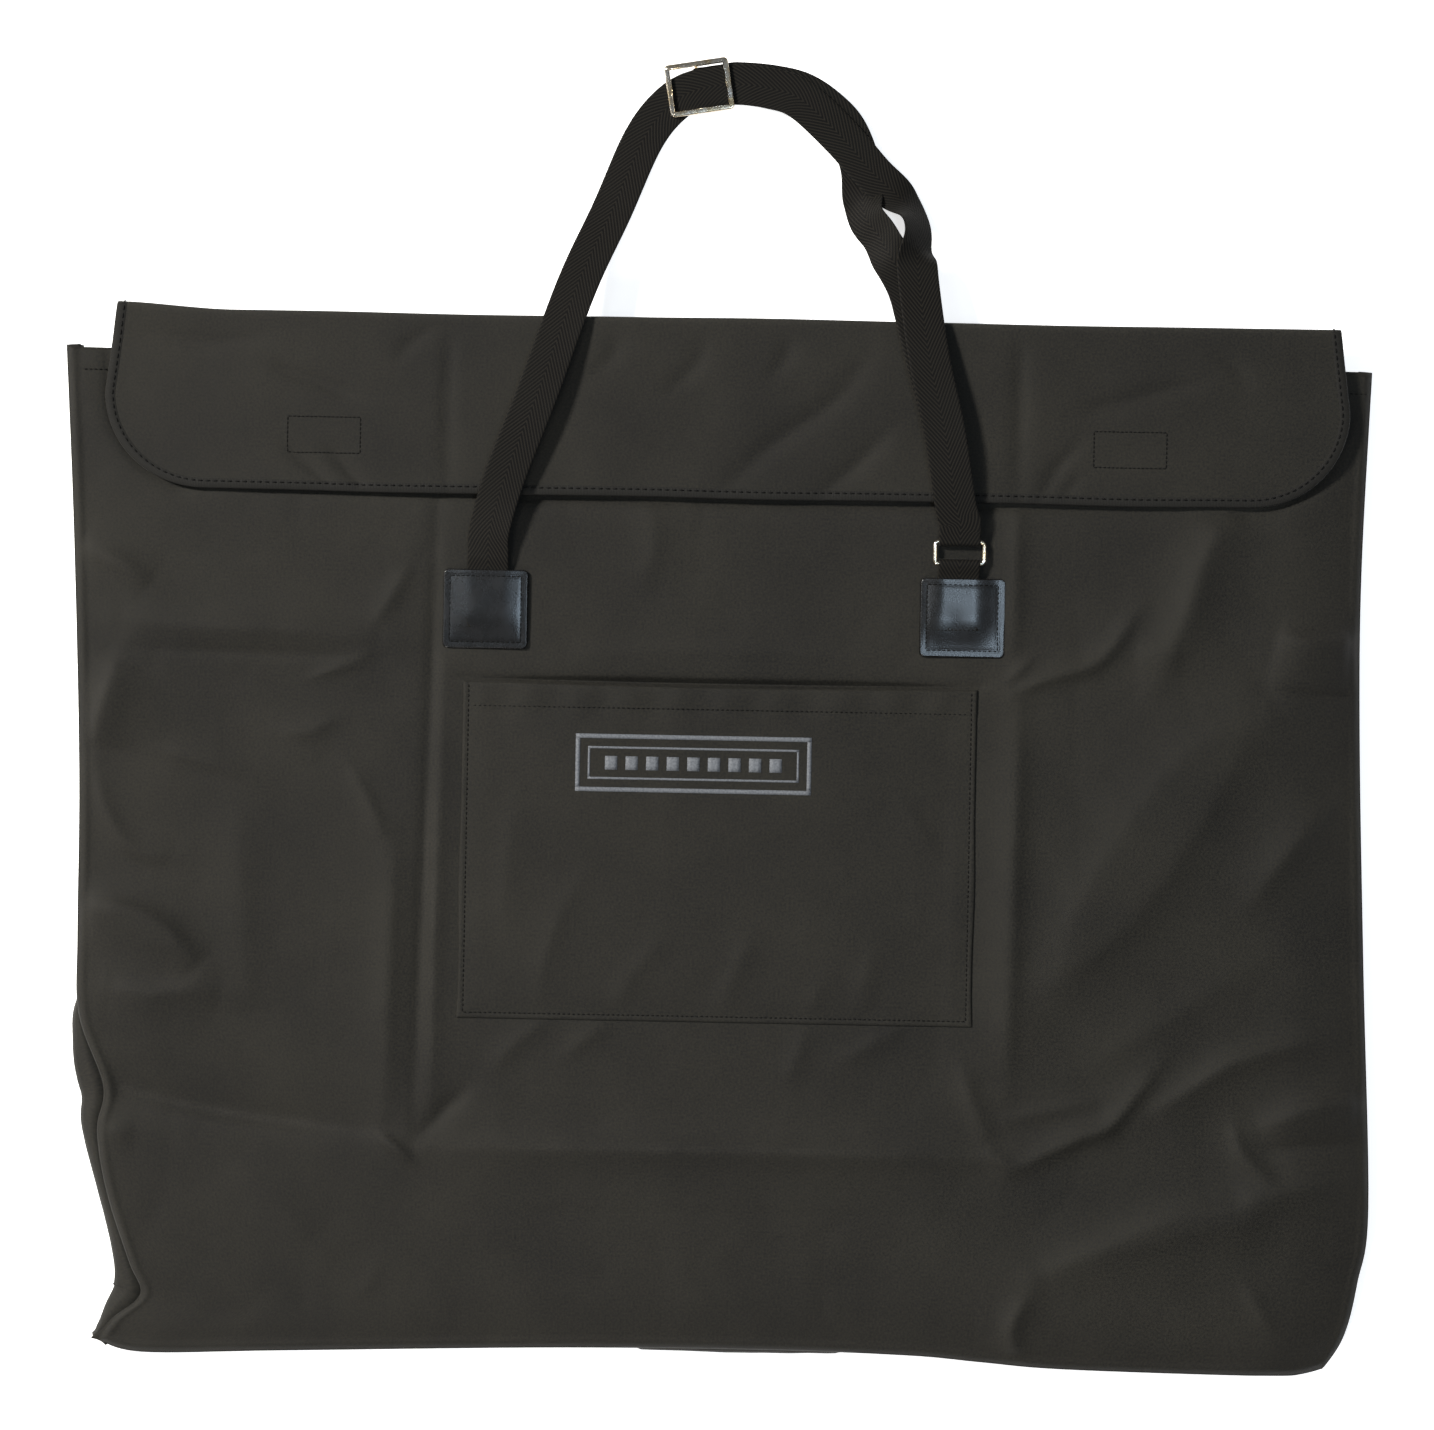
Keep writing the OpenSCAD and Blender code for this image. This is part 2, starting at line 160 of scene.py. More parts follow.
def soft_noise(x, y, size, seed):
    """Gentle hills about size millimetres wide, from -1 to 1."""
    lattice = np.random.RandomState(seed).uniform(-1, 1, (CELLS, CELLS))
    gx, gy = np.asarray(x) / size + 31.7, np.asarray(y) / size + 30.3
    ix, iy = np.floor(gx).astype(int), np.floor(gy).astype(int)
    fx, fy = smooth_step(0, 1, gx - ix), smooth_step(0, 1, gy - iy)
    low, high = (
        lattice[ix % CELLS, (iy + j) % CELLS] * (1 - fx) + lattice[(ix + 1) % CELLS, (iy + j) % CELLS] * fx
        for j in (0, 1)
    )
    return low * (1 - fy) + high * fy


def hills(x, y, *layers):
    """Layers of soft noise, each given as (height, size, seed)."""
    return sum(height * soft_noise(x, y, size, seed) for height, size, seed in layers)


def crumple(x, y, size, seed):
    """Crumpled cloth: soft hills that meet in fine valleys, from -1 to 0."""
    return -bell(np.abs(soft_noise(x, y, size, seed)), 0, 0.16, 1.5)


# A crease's section: how fast it falls away, and how round its crest is, both against its width
CREASE_FALL, CREASE_ROUND = 1.4, 0.28


def stroke_height(x, y, strokes):
    """Folds and creases: each is a crest line, its width to the right and to the left, and its height.

    A negative height is a valley. A fold fades at its ends, and its narrow side is the steep one.
    """
    x, y = np.asarray(x, float), np.asarray(y, float)
    total = np.zeros(x.shape)
    for points, right, left, height in strokes:
        line, along = resample(curve_through(points, 6), max(min(right, left) / 2, 4))
        reach = 2.5 * max(right, left)
        low, high = line.min(axis=0) - reach, line.max(axis=0) + reach
        near = (x > low[0]) & (x < high[0]) & (y > low[1]) & (y < high[1])
        if not near.any():
            continue
        px, py = x[near], y[near]
        nearest, share, side = np.full(px.shape, 1e9), np.zeros(px.shape), np.zeros(px.shape)
        for a, b, start, end in zip(line, line[1:], along, along[1:]):
            d = b - a
            dx, dy = px - a[0], py - a[1]
            t = np.clip((dx * d[0] + dy * d[1]) / (d @ d), 0, 1)
            gap = np.hypot(dx - t * d[0], dy - t * d[1])
            closer = gap < nearest
            nearest[closer] = gap[closer]
            share[closer] = ((start + t * (end - start)) / along[-1])[closer]
            side[closer] = ((d[0] * dy - d[1] * dx) / math.sqrt(d @ d))[closer]
        width = (right + left) / 2 + (left - right) / 2 * side / np.maximum(nearest, 0.01)
        fade = np.sin(math.pi * np.clip(share, 0.03, 0.97)) ** 0.6
        fall = np.hypot(nearest / width, CREASE_ROUND) - CREASE_ROUND
        total[near] += height * fade * np.exp(-CREASE_FALL * fall)
    return total


# ---- Meshes ----

# Millimetres of cloth to one unit of the UV map
UV_MM = 100.0


def grid_faces(rows, cols, closed=False, looped=False):
    """Quads of a grid of points. closed joins the last column to the first, and looped the last row."""
    j, i = np.mgrid[:rows if looped else rows - 1, :cols if closed else cols - 1]
    k, n = (i + 1) % cols, (j + 1) % rows
    quads = np.stack([j * cols + i, j * cols + k, n * cols + k, n * cols + i], axis=-1)
    return [tuple(quad) for quad in quads.reshape(-1, 4).tolist()]


def flipped(faces):
    """The same faces seen from their other side."""
    return [face[::-1] for face in faces]


def tube_faces(rows, cols):
    """Faces of a tube of this many rings, with a cap on each end."""
    faces = grid_faces(rows, cols, closed=True)
    faces.append(tuple(reversed(range(cols))))
    faces.append(tuple(range((rows - 1) * cols, rows * cols)))
    return faces


def build(name, points, faces, material, flat=None, wear=None):
    """A smooth mesh from points in millimetres. flat is each point's place on the flat cloth."""
    points = np.asarray(points, float).reshape(-1, 3)
    mesh = bpy.data.meshes.new(name)
    mesh.from_pydata((points * MM).tolist(), [], faces)
    mesh.polygons.foreach_set("use_smooth", np.ones(len(mesh.polygons), bool))
    flat = points[:, :2] if flat is None else np.asarray(flat, float).reshape(-1, 2)
    corner = np.zeros(len(mesh.loops), np.int32)
    mesh.loops.foreach_get("vertex_index", corner)
    layer = mesh.uv_layers.new(name="cloth")
    layer.data.foreach_set("uv", (flat[corner] / UV_MM).astype(np.float32).ravel())
    attribute = mesh.attributes.new("wear", "FLOAT", "POINT")
    values = np.zeros(len(points)) if wear is None else np.clip(wear, 0, 1)
    attribute.data.foreach_set("value", values.astype(np.float32).ravel())
    mesh.materials.append(material)
    mesh.update()
    piece = bpy.data.objects.new(name, mesh)
    bpy.context.scene.collection.objects.link(piece)
    return piece


def fit(piece, slot, *nodes, body=None):
    """Hides the CAD nodes that a piece stands for, and hangs it on its body if one is given. The slot, what
    it is made of, is not used.
    """
    if body:
        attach(piece, body)
    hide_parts(*nodes)


def thicken(piece, thickness, offset=-1.0):
    """Gives a single-layer cloth its thickness."""
    solid = piece.modifiers.new("cloth_thickness", "SOLIDIFY")
    solid.thickness = thickness * MM
    solid.offset = offset


def closed_sheet(name, top, bottom, material, flat=None):
    """A closed piece between a top and a bottom grid of the same size, joined round the rim."""
    rows, cols = top.shape[:2]
    count = rows * cols
    upper = grid_faces(rows, cols)
    lower = [tuple(count + i for i in reversed(face)) for face in upper]
    index = np.arange(count).reshape(rows, cols)
    rim = np.concatenate([index[0], index[1:, -1], index[-1, -2::-1], index[-2:0:-1, 0]]).tolist()
    walls = [(a, count + a, count + b, b) for a, b in zip(rim, rim[1:] + rim[:1])]
    points = np.concatenate([top.reshape(-1, 3), bottom.reshape(-1, 3)])
    if flat is not None:
        flat = np.tile(flat.reshape(-1, 2), (2, 1))
    return build(name, points, upper + lower + walls, material, flat)


def stations(low, high, step, edge_step=None, edge=12, ends=(True, True)):
    """Grid lines from low to high, closer together over the first and last edge millimetres."""
    edge_step = edge_step or step
    first = np.arange(low, low + edge, edge_step) if ends[0] else np.array([low])
    last = high - np.arange(0, edge, edge_step)[::-1] if ends[1] else np.array([high])
    count = round((last[0] - first[-1]) / step)
    middle = np.linspace(first[-1], last[0], max(count, 1) + 1)[1:-1]
    return np.concatenate([first, middle, last])


def tube(path, radius, sides=6):
    """Points and faces of a closed tube along a path, with a radius for each of its points."""
    tangent = unit(np.gradient(path, axis=0))
    side = np.cross(tangent, UP)
    side[np.linalg.norm(side, axis=1) < 1e-3] = [1, 0, 0]
    side = unit(side)
    over = np.cross(side, tangent)
    turn = np.arange(sides) / sides * 2 * math.pi
    ring = np.cos(turn)[None, :, None] * side[:, None] + np.sin(turn)[None, :, None] * over[:, None]
    return (path[:, None] + radius[:, None, None] * ring).reshape(-1, 3), tube_faces(len(path), sides)


def joined(parts):
    """Several (points, faces) made into one."""
    points, faces, first = [], [], 0
    for some_points, some_faces in parts:
        points.append(some_points)
        faces += [tuple(first + i for i in face) for face in some_faces]
        first += len(some_points)
    return np.concatenate(points), faces


def rectangle(low, high, inset):
    """A box's corners seen from above, drawn in by the inset."""
    x0, y0, x1, y1 = low[0] + inset, low[1] + inset, high[0] - inset, high[1] - inset
    return [(x0, y0), (x1, y0), (x1, y1), (x0, y1)]


def round_corners(x, y, half, radius):
    """Moves the points of a rectangle's grid so that its corners are round."""
    dx, dy = np.abs(x) - (half[0] - radius), np.abs(y) - (half[1] - radius)
    in_corner = (dx > 0) & (dy > 0)
    size = np.hypot(dx, dy)
    scale = np.maximum(dx, dy) / np.where(size > 0, size, 1)
    new_x = np.where(in_corner, np.sign(x) * (half[0] - radius + dx * scale), x)
    new_y = np.where(in_corner, np.sign(y) * (half[1] - radius + dy * scale), y)
    return new_x, new_y


# ---- Materials ----

def rgb(red, green, blue):
    """A shader colour from display values of 0 to 255."""
    linear = [((c / 255 + 0.055) / 1.055) ** 2.4 if c > 10 else c / 255 / 12.92 for c in (red, green, blue)]
    return (*linear, 1.0)


class Paint:
    """A material's nodes, added one call at a time."""

    def __init__(self, name):
        self.material = bpy.data.materials.new(name)
        self.material.use_nodes = True
        self.tree = self.material.node_tree
        self.shader = self.tree.nodes["Principled BSDF"]

    def put(self, socket, value):
        """Links a node's output to a socket, or sets the socket to a plain value."""
        if isinstance(value, bpy.types.NodeSocket):
            self.tree.links.new(value, socket)
        else:
            socket.default_value = value

    def add(self, kind, inputs=(), output=0, **settings):
        node = self.tree.nodes.new(kind)
        for key, value in settings.items():
            setattr(node, key, value)
        for key, value in dict(inputs).items():
            self.put(node.inputs[key], value)
        return node.outputs[output]

    def math(self, operation, a, b=0.0):
        return self.add("ShaderNodeMath", {0: a, 1: b}, operation=operation)

    def weighted(self, a, a_share, b, b_share):
        """Two values added, each times its share."""
        return self.math("ADD", self.math("MULTIPLY", a, a_share), self.math("MULTIPLY", b, b_share))

    def flat_mm(self):
        """Place on the flat cloth in millimetres: a vector, and its two parts."""
        place = self.add("ShaderNodeUVMap", uv_map="cloth")
        vector = self.add("ShaderNodeVectorMath", {0: place, "Scale": UV_MM}, operation="SCALE")
        across, along = (self.add("ShaderNodeSeparateXYZ", {0: vector}, output=k) for k in (0, 1))
        return vector, across, along

    def noise(self, vector, size_mm, detail, roughness=0.55):
        return self.add(
            "ShaderNodeTexNoise",
            {"Vector": vector, "Scale": 1 / size_mm, "Detail": detail, "Roughness": roughness},
            noise_dimensions="2D",
        )

    def wave(self, value, pitch_mm):
        return self.math("SINE", self.math("MULTIPLY", value, 2 * math.pi / pitch_mm))

    def plain_weave(self, across, along, pitch_mm=0.9):
        return self.math("MULTIPLY", self.wave(across, pitch_mm), self.wave(along, pitch_mm))

    def spread(self, value, to_low, to_high, low=0.3, high=0.7):
        """Stretches the values between low and high over another range."""
        return self.add(
            "ShaderNodeMapRange",
            {"Value": value, "From Min": low, "From Max": high, "To Min": to_low, "To Max": to_high},
        )

    def mix(self, share, a, b):
        return self.add("ShaderNodeMix", {0: share, 6: a, 7: b}, output=2, data_type="RGBA")

    def tones(self, value, dark, pale, low=0.3, high=0.7):
        """A colour that goes from dark to pale as the value goes from low to high."""
        return self.mix(self.spread(value, 0, 1, low, high), rgb(*dark), rgb(*pale))

    def bump(self, height, distance_mm, strength, **under):
        inputs = {"Height": height, "Distance": distance_mm * MM, "Strength": strength, **under}
        return self.add("ShaderNodeBump", inputs)

    def finish(self, **inputs):
        for key, value in inputs.items():
            self.put(self.shader.inputs[key.replace("_", " ")], value)
        return self.material


def nylon_paint():
    """Plain-woven nylon with a satin coating, mottled, and paler where it creased."""
    p = Paint("coated_nylon_cloth")
    place, across, along = p.flat_mm()
    grain = p.noise(place, 1.7, 2)
    colour = p.tones(p.weighted(p.noise(place, 90, 3), 0.3, grain, 0.7), (12, 11, 9), (35, 33, 27))
    wear = p.add("ShaderNodeAttribute", output=2, attribute_name="wear")
    scuffed = p.math("MULTIPLY", wear, p.spread(grain, 0.3, 1.0))
    threads = p.bump(p.math("ADD", p.plain_weave(across, along), grain), 0.09, 0.6)
    return p.finish(
        Base_Color=p.mix(p.math("MULTIPLY", scuffed, 0.35), colour, rgb(52, 50, 45)),
        Roughness=p.spread(grain, 0.6, 0.72),
        Specular_IOR_Level=0.2,
        Sheen_Weight=0.05,
        Sheen_Roughness=0.5,
        Normal=p.bump(p.noise(place, 9, 3), 0.35, 0.5, Normal=threads),
    )


def tape_paint():
    """Narrow ribbed binding tape."""
    p = Paint("ribbed_binding_tape")
    place, across, along = p.flat_mm()
    grain = p.noise(place, 1.6, 2)
    return p.finish(
        Base_Color=p.tones(grain, (17, 16, 14), (25, 24, 21)),
        Roughness=p.spread(grain, 0.65, 0.8),
        Specular_IOR_Level=0.2,
        Sheen_Weight=0.04,
        Normal=p.bump(p.weighted(p.wave(along, 1.1), 1.0, grain, 0.8), 0.08, 0.6),
    )


def thread_paint():
    """Twisted sewing thread."""
    p = Paint("twisted_thread")
    place, across, along = p.flat_mm()
    grain = p.noise(place, 0.7, 2)
    twist = p.wave(p.math("ADD", across, along), 0.45)
    return p.finish(
        Base_Color=p.mix(grain, rgb(3, 3, 3), rgb(9, 9, 8)),
        Roughness=p.spread(grain, 0.5, 0.65),
        Specular_IOR_Level=0.15,
        Normal=p.bump(twist, 0.06, 0.5),
    )


def pile_paint():
    """Hook-and-loop tape: a short fuzzy pile in rows."""
    p = Paint("hook_and_loop_pile")
    place, across, along = p.flat_mm()
    pile = p.noise(place, 0.8, 4, 0.7)
    return p.finish(
        Base_Color=p.tones(pile, (22, 22, 21), (50, 49, 47)),
        Roughness=p.spread(pile, 0.75, 0.95),
        Specular_IOR_Level=0.2,
        Sheen_Weight=0.5,
        Normal=p.bump(p.weighted(pile, 1.0, p.wave(across, 1.5), 0.2), 0.6, 0.8),
    )


def leather_paint():
    """Finished black leather: a smooth gloss over fine pebbles."""
    p = Paint("pebbled_leather")
    place, across, along = p.flat_mm()
    pebble = p.add("ShaderNodeTexVoronoi", {"Vector": place, "Scale": 1 / 1.1, "Randomness": 1.0},
                   feature="SMOOTH_F1", voronoi_dimensions="2D")
    cloud = p.noise(place, 14, 4)
    fine = p.noise(place, 0.8, 3)
    return p.finish(
        Base_Color=p.tones(cloud, (7, 7, 7), (16, 15, 15)),
        Roughness=p.weighted(p.spread(cloud, 0.24, 0.27), 1.0, fine, 0.04),
        Specular_IOR_Level=0.5,
        Normal=p.bump(p.weighted(pebble, -1.0, fine, 0.5), 0.05, 0.8),
    )


# Herringbone ribs: their pitch, and their lean from the strap's own direction
RIB_PITCH = 2.2
RIB_LEAN = math.radians(32)
RIB_SINE, RIB_COSINE = math.sin(RIB_LEAN), math.cos(RIB_LEAN)


def webbing_paint():
    """Herringbone webbing: the relief is in the mesh and the fibres follow it. The colour follows it too, as
    painted shade in the ribs' valleys and painted light on their crests.
    """
    p = Paint("herringbone_webbing")
    place, across, along = p.flat_mm()
    rib_relief_and_shade = p.wave(p.weighted(along, RIB_SINE, p.math("ABSOLUTE", across), RIB_COSINE), RIB_PITCH)
    fibre = p.noise(place, 0.6, 2)
    faded = p.spread(p.noise(place, 40, 2), 0, 0.2)
    return p.finish(
        # painted shade and painted light: the colour is darkest in the rib valleys and palest on the rib
        # crests, with random faded patches mixed in
        Base_Color=p.mix(faded, p.tones(rib_relief_and_shade, (1, 1, 1), (28, 25, 20), -0.3, 1), rgb(18, 18, 15)),
        Roughness=p.spread(fibre, 0.6, 0.8),
        Specular_IOR_Level=0.12,
        Sheen_Weight=0.03,
        Normal=p.bump(p.weighted(rib_relief_and_shade, 0.6, fibre, 1.0), 0.12, 0.5),
    )


def nickel_paint():
    """Bright nickel plating with faint scratches and a warm tint where it is worn."""
    p = Paint("nickel_plating")
    place = p.add("ShaderNodeTexCoord", output=3)
    cloud = p.add("ShaderNodeTexNoise", {"Vector": place, "Scale": 140.0, "Detail": 3.0})
    fine = {"Vector": place, "Scale": 900.0, "Detail": 3.0, "Roughness": 0.7}
    scratches = p.add("ShaderNodeTexNoise", fine)
    return p.finish(
        Base_Color=p.tones(cloud, (214, 209, 200), (205, 186, 150), 0.35, 0.65),
        Metallic=1.0,
        Roughness=p.spread(scratches, 0.12, 0.3),
        Normal=p.bump(scratches, 0.02, 0.3),
    )


def ink_paint():
    """Grey printing ink on the cloth: the weave shows through it."""
    p = Paint("printing_ink")
    place, across, along = p.flat_mm()
    grain = p.noise(place, 1.5, 3)
    return p.finish(
        Base_Color=p.tones(grain, (84, 87, 92), (103, 106, 111), 0.35, 0.65),
        Roughness=p.spread(grain, 0.5, 0.65),
        Specular_IOR_Level=0.3,
        Normal=p.bump(p.plain_weave(across, along), 0.05, 0.5),
    )


NYLON = nylon_paint()
TAPE = tape_paint()
THREAD = thread_paint()
PILE = pile_paint()
LEATHER = leather_paint()
WEBBING = webbing_paint()
NICKEL = nickel_paint()
INK = ink_paint()


# ---- The bag's outline ----

# Where the front panel's seams run, as (y, x) along the sides and (x, y) along the bottom
LEFT_SEAM = profile([
    (368, -484), (230, -476), (60, -469), (-60, -468), (-120, -466), (-172, -447), (-205, -451),
    (-250, -443), (-300, -426), (-324, -417), (-344, -438), (-368, -454),
])
RIGHT_SEAM = profile([
    (368, 472), (220, 467), (100, 468), (-70, 474), (-245, 481), (-300, 474), (-340, 465), (-368, 450),
])
BOTTOM_SEAM = profile([
    (-484, -357), (-453, -358), (-416, -367), (-313, -364), (-110, -358), (44, -357), (146, -359),
    (200, -363), (260, -367), (400, -369), (440, -367), (484, -352),
])
MOUTH_EDGE = profile([(-484, 369), (-440, 367), (0, 366), (440, 367), (484, 369)])

# How far the gusset's middle fold lies outside the front seam: it is tucked in, but turned out at bottom left
LEFT_FOLD = profile([
    (368, -10), (60, -11), (-70, -10), (-118, 5), (-165, 20), (-205, 12), (-250, 8), (-300, 12),
    (-322, 24), (-345, 8), (-368, 0),
])
BOTTOM_FOLD = profile([(-454, 0), (-430, -10), (-90, -10), (-60, 1.5), (95, 2), (125, -10), (484, -10)])
RIGHT_FOLD = profile([(368, -10), (-250, -11), (-368, -8)])

# Folds of the front panel: crest line, width to its right and to its left, and height, in millimetres
STORAGE_CREASES = [
    # upright, left: a valley between two low ridges
    ([(-241, -185), (-240, -80), (-239, 20)], 13, 18, 2.2),
    ([(-219, -205), (-217, -80), (-213, 60), (-210, 268)], 5, 5, -1.4),
    ([(-208, -190), (-207, 0), (-205, 140)], 9, 5, 1.3),
    # upright, right: a ridge that is steep on its outer side
    ([(212, -165), (214, 0), (216, 120)], 12, 18, 3.2),
    ([(212, 148), (213, 268)], 7, 10, 1.4),
    # across, middle and left
    ([(-212, -211), (0, -210), (212, -212)], 17, 15, 3.8),
    ([(-458, -168), (-380, -186), (-300, -197), (-238, -202)], 8, 20, -3.0),
    # across, right: the long pinched fold
    ([(216, -222), (240, -209), (268, -196), (287, -188), (301, -172), (324, -142)], 8, 13, 3.8),
]
FRONT_STROKES = STORAGE_CREASES + [
    # pinches where the storage creases cross
    ([(-219, -223), (-246, -202)], 4, 5, 2.6),
    ([(-218, -209), (-202, -191), (-178, -167)], 7, 9, -2.0),
    ([(202, -204), (187, -170), (178, -142)], 11, 8, 1.8),
    ([(226, -221), (194, -207)], 4, 5, 1.4),
    ([(213, 127), (240, 139), (268, 148), (284, 161), (303, 190)], 7, 11, 2.8),
    ([(207, 136), (227, 153)], 4, 4, 1.4),
    ([(-256, 168), (-241, 192), (-230, 214)], 8, 9, 1.5),
    ([(-302, 128), (-275, 139), (-254, 148)], 6, 6, 1.2),
    # left side, from the top
    ([(-472, 224), (-446, 212), (-418, 194)], 11, 14, 2.8),
    ([(-446, 171), (-380, 165), (-310, 164), (-246, 158)], 17, 18, 3.2),
    ([(-446, 148), (-340, 146), (-246, 144)], 4, 5, -0.9),
    ([(-458, 74), (-452, 106), (-441, 142)], 30, 10, 4.6),
    ([(-410, 75), (-378, 67), (-344, 57)], 7, 9, 1.5),
    ([(-396, -6), (-430, 2), (-449, 30), (-458, 62)], 10, 6, 1.8),
    ([(-324, 91), (-302, 89), (-282, 99)], 6, 7, 1.2),
    ([(-243, 10), (-256, 38), (-272, 66)], 7, 7, 1.5),
    ([(-474, -44), (-440, -42), (-404, -58), (-376, -84)], 30, 13, 5.2),
    ([(-444, -99), (-412, -103), (-384, -99), (-360, -104)], 20, 8, 3.0),
    ([(-342, -120), (-348, -40), (-352, 40)], 22, 26, 1.6),
    # bottom left
    ([(-432, -292), (-442, -258)], 9, 6, 1.2),
    ([(-452, -203), (-422, -205)], 13, 8, 1.6),
    ([(-268, -323), (-251, -314), (-242, -292)], 8, 10, 0.5),
    ([(-352, -222), (-312, -262), (-272, -305)], 18, 18, 1.2),
    # right side, from the top
    ([(316, 136), (336, 180), (350, 225), (370, 266)], 22, 18, 4.0),
    ([(300, 158), (336, 160)], 20, 12, 1.6),
    ([(402, 174), (432, 168), (474, 172)], 32, 12, 4.6),
    ([(402, 133), (440, 130), (476, 130)], 4, 6, -1.2),
    ([(230, -106), (270, -50), (318, 20), (362, 84), (414, 124)], 36, 42, 7.0),
    ([(386, -26), (417, 16), (450, 54)], 15, 24, 3.6),
    ([(262, -150), (330, -108), (400, -62)], 20, 26, 1.6),
    ([(205, -186), (244, -177), (284, -168)], 8, 8, 1.5),
    ([(314, -182), (345, -160), (384, -136), (446, -120)], 18, 10, 3.6),
    ([(378, -183), (387, -208), (410, -228)], 6, 6, 2.2),
    ([(396, -188), (436, -171), (482, -167)], 25, 12, 4.6),
    ([(398, -204), (440, -199), (482, -197)], 5, 6, -1.2),
    # lower right
    ([(224, -360), (220, -336), (232, -312)], 10, 10, 3.0),
    ([(236, -300), (290, -276), (346, -256), (384, -250), (402, -238), (464, -222)], 24, 18, 5.2),
    ([(389, -301), (411, -336)], 6, 6, 1.4),
    # under the pocket
    ([(-164, -154), (-144, -134), (-124, -118)], 9, 9, 1.1),
    ([(-112, -146), (-94, -130), (-76, -118)], 9, 9, 0.9),
    ([(52, -160), (60, -140), (66, -120)], 10, 9, 0.9),
    ([(88, -146), (112, -132), (138, -118)], 10, 9, 1.1),
    # between the patches
    ([(-60, 200), (-52, 230), (-56, 262)], 12, 12, 0.8),
    ([(-120, 150), (0, 154), (120, 150)], 9, 9, 0.8),
    # just beyond the pocket's mouth, which stands off the panel
    ([(-190, POCKET_HIGH[1] + 2.2), (-90, POCKET_HIGH[1] + 1.0), (0, POCKET_HIGH[1] + 0.6),
      (90, POCKET_HIGH[1] + 1.0), (190, POCKET_HIGH[1] + 2.2)], 1.8, 4, -2.4),
]
# The flap's edge lies in a groove that it has pressed into the cloth
FLAP_GROOVE = [
    ([(-452, 380), (-450, 330), (-437, 298), (-414, 276), (-380, 266)], 6, 6, -2.2),
    ([(-400, 268), (-200, 266), (0, 265), (200, 265), (380, 263)], 6, 6, -2.6),
    ([(360, 263), (396, 266), (424, 280), (446, 306), (450, 350)], 7, 7, -2.6),
]

# Height of the panel between its folds
FRONT_CREST_Z = FRONT_Z - 1.2
# The ridge that the seams make inside the panel's edge
SEAM_RIDGE_AT, SEAM_RIDGE_W, SEAM_RIDGE_H = 5.0, 3.0, 1.1
# How deep the folds listed above are in the cloth, and the crumples between them
FOLD_DEPTH = 1.9
CRUMPLE = 0.3
# For the left, right and bottom edge: how far in the panel begins to roll over, and how far it drops
EDGE_ROLLS = [(60.0, 1.6), (60.0, 10.5), (45.0, 6.5)]
# From the first of these to the second, folds come down to a lower ceiling, to clear the flap
UNDER_FLAP_Y, UNDER_FLAP_Z = (236, 262), FRONT_Z - 0.8


def front_wear(x, y):
    """How worn the cloth is: most along the storage creases."""
    creases = stroke_height(x, y, [(crest, 3.0, 3.0, 1.0) for crest, *_ in STORAGE_CREASES])
    return creases * (0.5 + 0.5 * soft_noise(x, y, 14, 5))


def front_height(x, y):
    """Height of the front panel: rolled over to its seams, folded and creased."""
    gaps = x - LEFT_SEAM(y), RIGHT_SEAM(y) - x, y - BOTTOM_SEAM(x)
    z = FRONT_CREST_Z + 0 * x
    for distance, (roll, drop) in zip(gaps, EDGE_ROLLS):
        z -= drop * (1 - np.sin(math.pi / 2 * np.clip(distance / roll, 0, 1)))
    gap = np.maximum(np.minimum.reduce(gaps), 0)
    z += SEAM_RIDGE_H * bell(gap, SEAM_RIDGE_AT, SEAM_RIDGE_W) - 2.2 * np.exp(-gap / 2.0)
    loose = smooth_step(0, 14, gap)
    z += loose * FOLD_DEPTH * stroke_height(x, y, FRONT_STROKES + FLAP_GROOVE)
    z += loose * hills(x, y, (0.45, 75, 1), (0.22, 32, 2), (0.08, 15, 3))
    z += loose * CRUMPLE * (crumple(x, y, 95, 4) + 0.5 * crumple(x + y, y - x, 60, 6))
    z += 0.4 * smooth_step(HEM_Y - 1.0, HEM_Y + 0.5, y)
    ceiling = UNDER_FLAP_Z + 8.0 * (1 - smooth_step(*UNDER_FLAP_Y, y))
    over = np.maximum(z - ceiling + 1, 0)
    return np.where(over > 0, ceiling - np.exp(-over), z)


def fill_grid(xs, ys, left, right, bottom, top):
    """Fills a grid inside four border lines. A border's shape fades out towards the middle."""
    rect = np.stack(np.meshgrid(xs, ys), axis=-1)
    u, v = ((line - line[0]) / (line[-1] - line[0]) for line in (xs, ys))
    sides = [(0, left, 1 - smooth_step(0, 0.3, u)), (-1, right, 1 - smooth_step(0, 0.3, 1 - u))]
    ends = [(0, bottom, 1 - smooth_step(0, 0.3, v)), (-1, top, 1 - smooth_step(0, 0.3, 1 - v))]
    grid = rect.copy()
    for col, border, share in sides:
        grid += share[None, :, None] * (border - rect[:, col])[:, None]
    for row, border, share in ends:
        grid += share[:, None, None] * (border - rect[row])[None]
    # the corners were moved by both of their borders
    for col, border, side_share in sides:
        for row, _, end_share in ends:
            grid -= side_share[None, :, None] * end_share[:, None, None] * (border[row] - rect[row, col])
    return grid


XS = stations(-HALF_W, HALF_W, 3.2, 1.4)
# closer together where the pocket's mouth casts its dark line
YS = np.unique(np.concatenate([
    stations(BOTTOM_Y, MOUTH_Y, 3.2, 1.4, ends=(True, False)),
    POCKET_HIGH[1] + np.arange(-2, 7, 0.9),
]))
ROWS, COLS = len(YS), len(XS)
PANEL_FLAT = np.dstack(np.meshgrid(XS, YS))


def across_from(left_x, right_x):
    """The grid's columns, spaced out between two other ends."""
    return np.interp(XS, [XS[0], XS[-1]], [left_x, right_x])


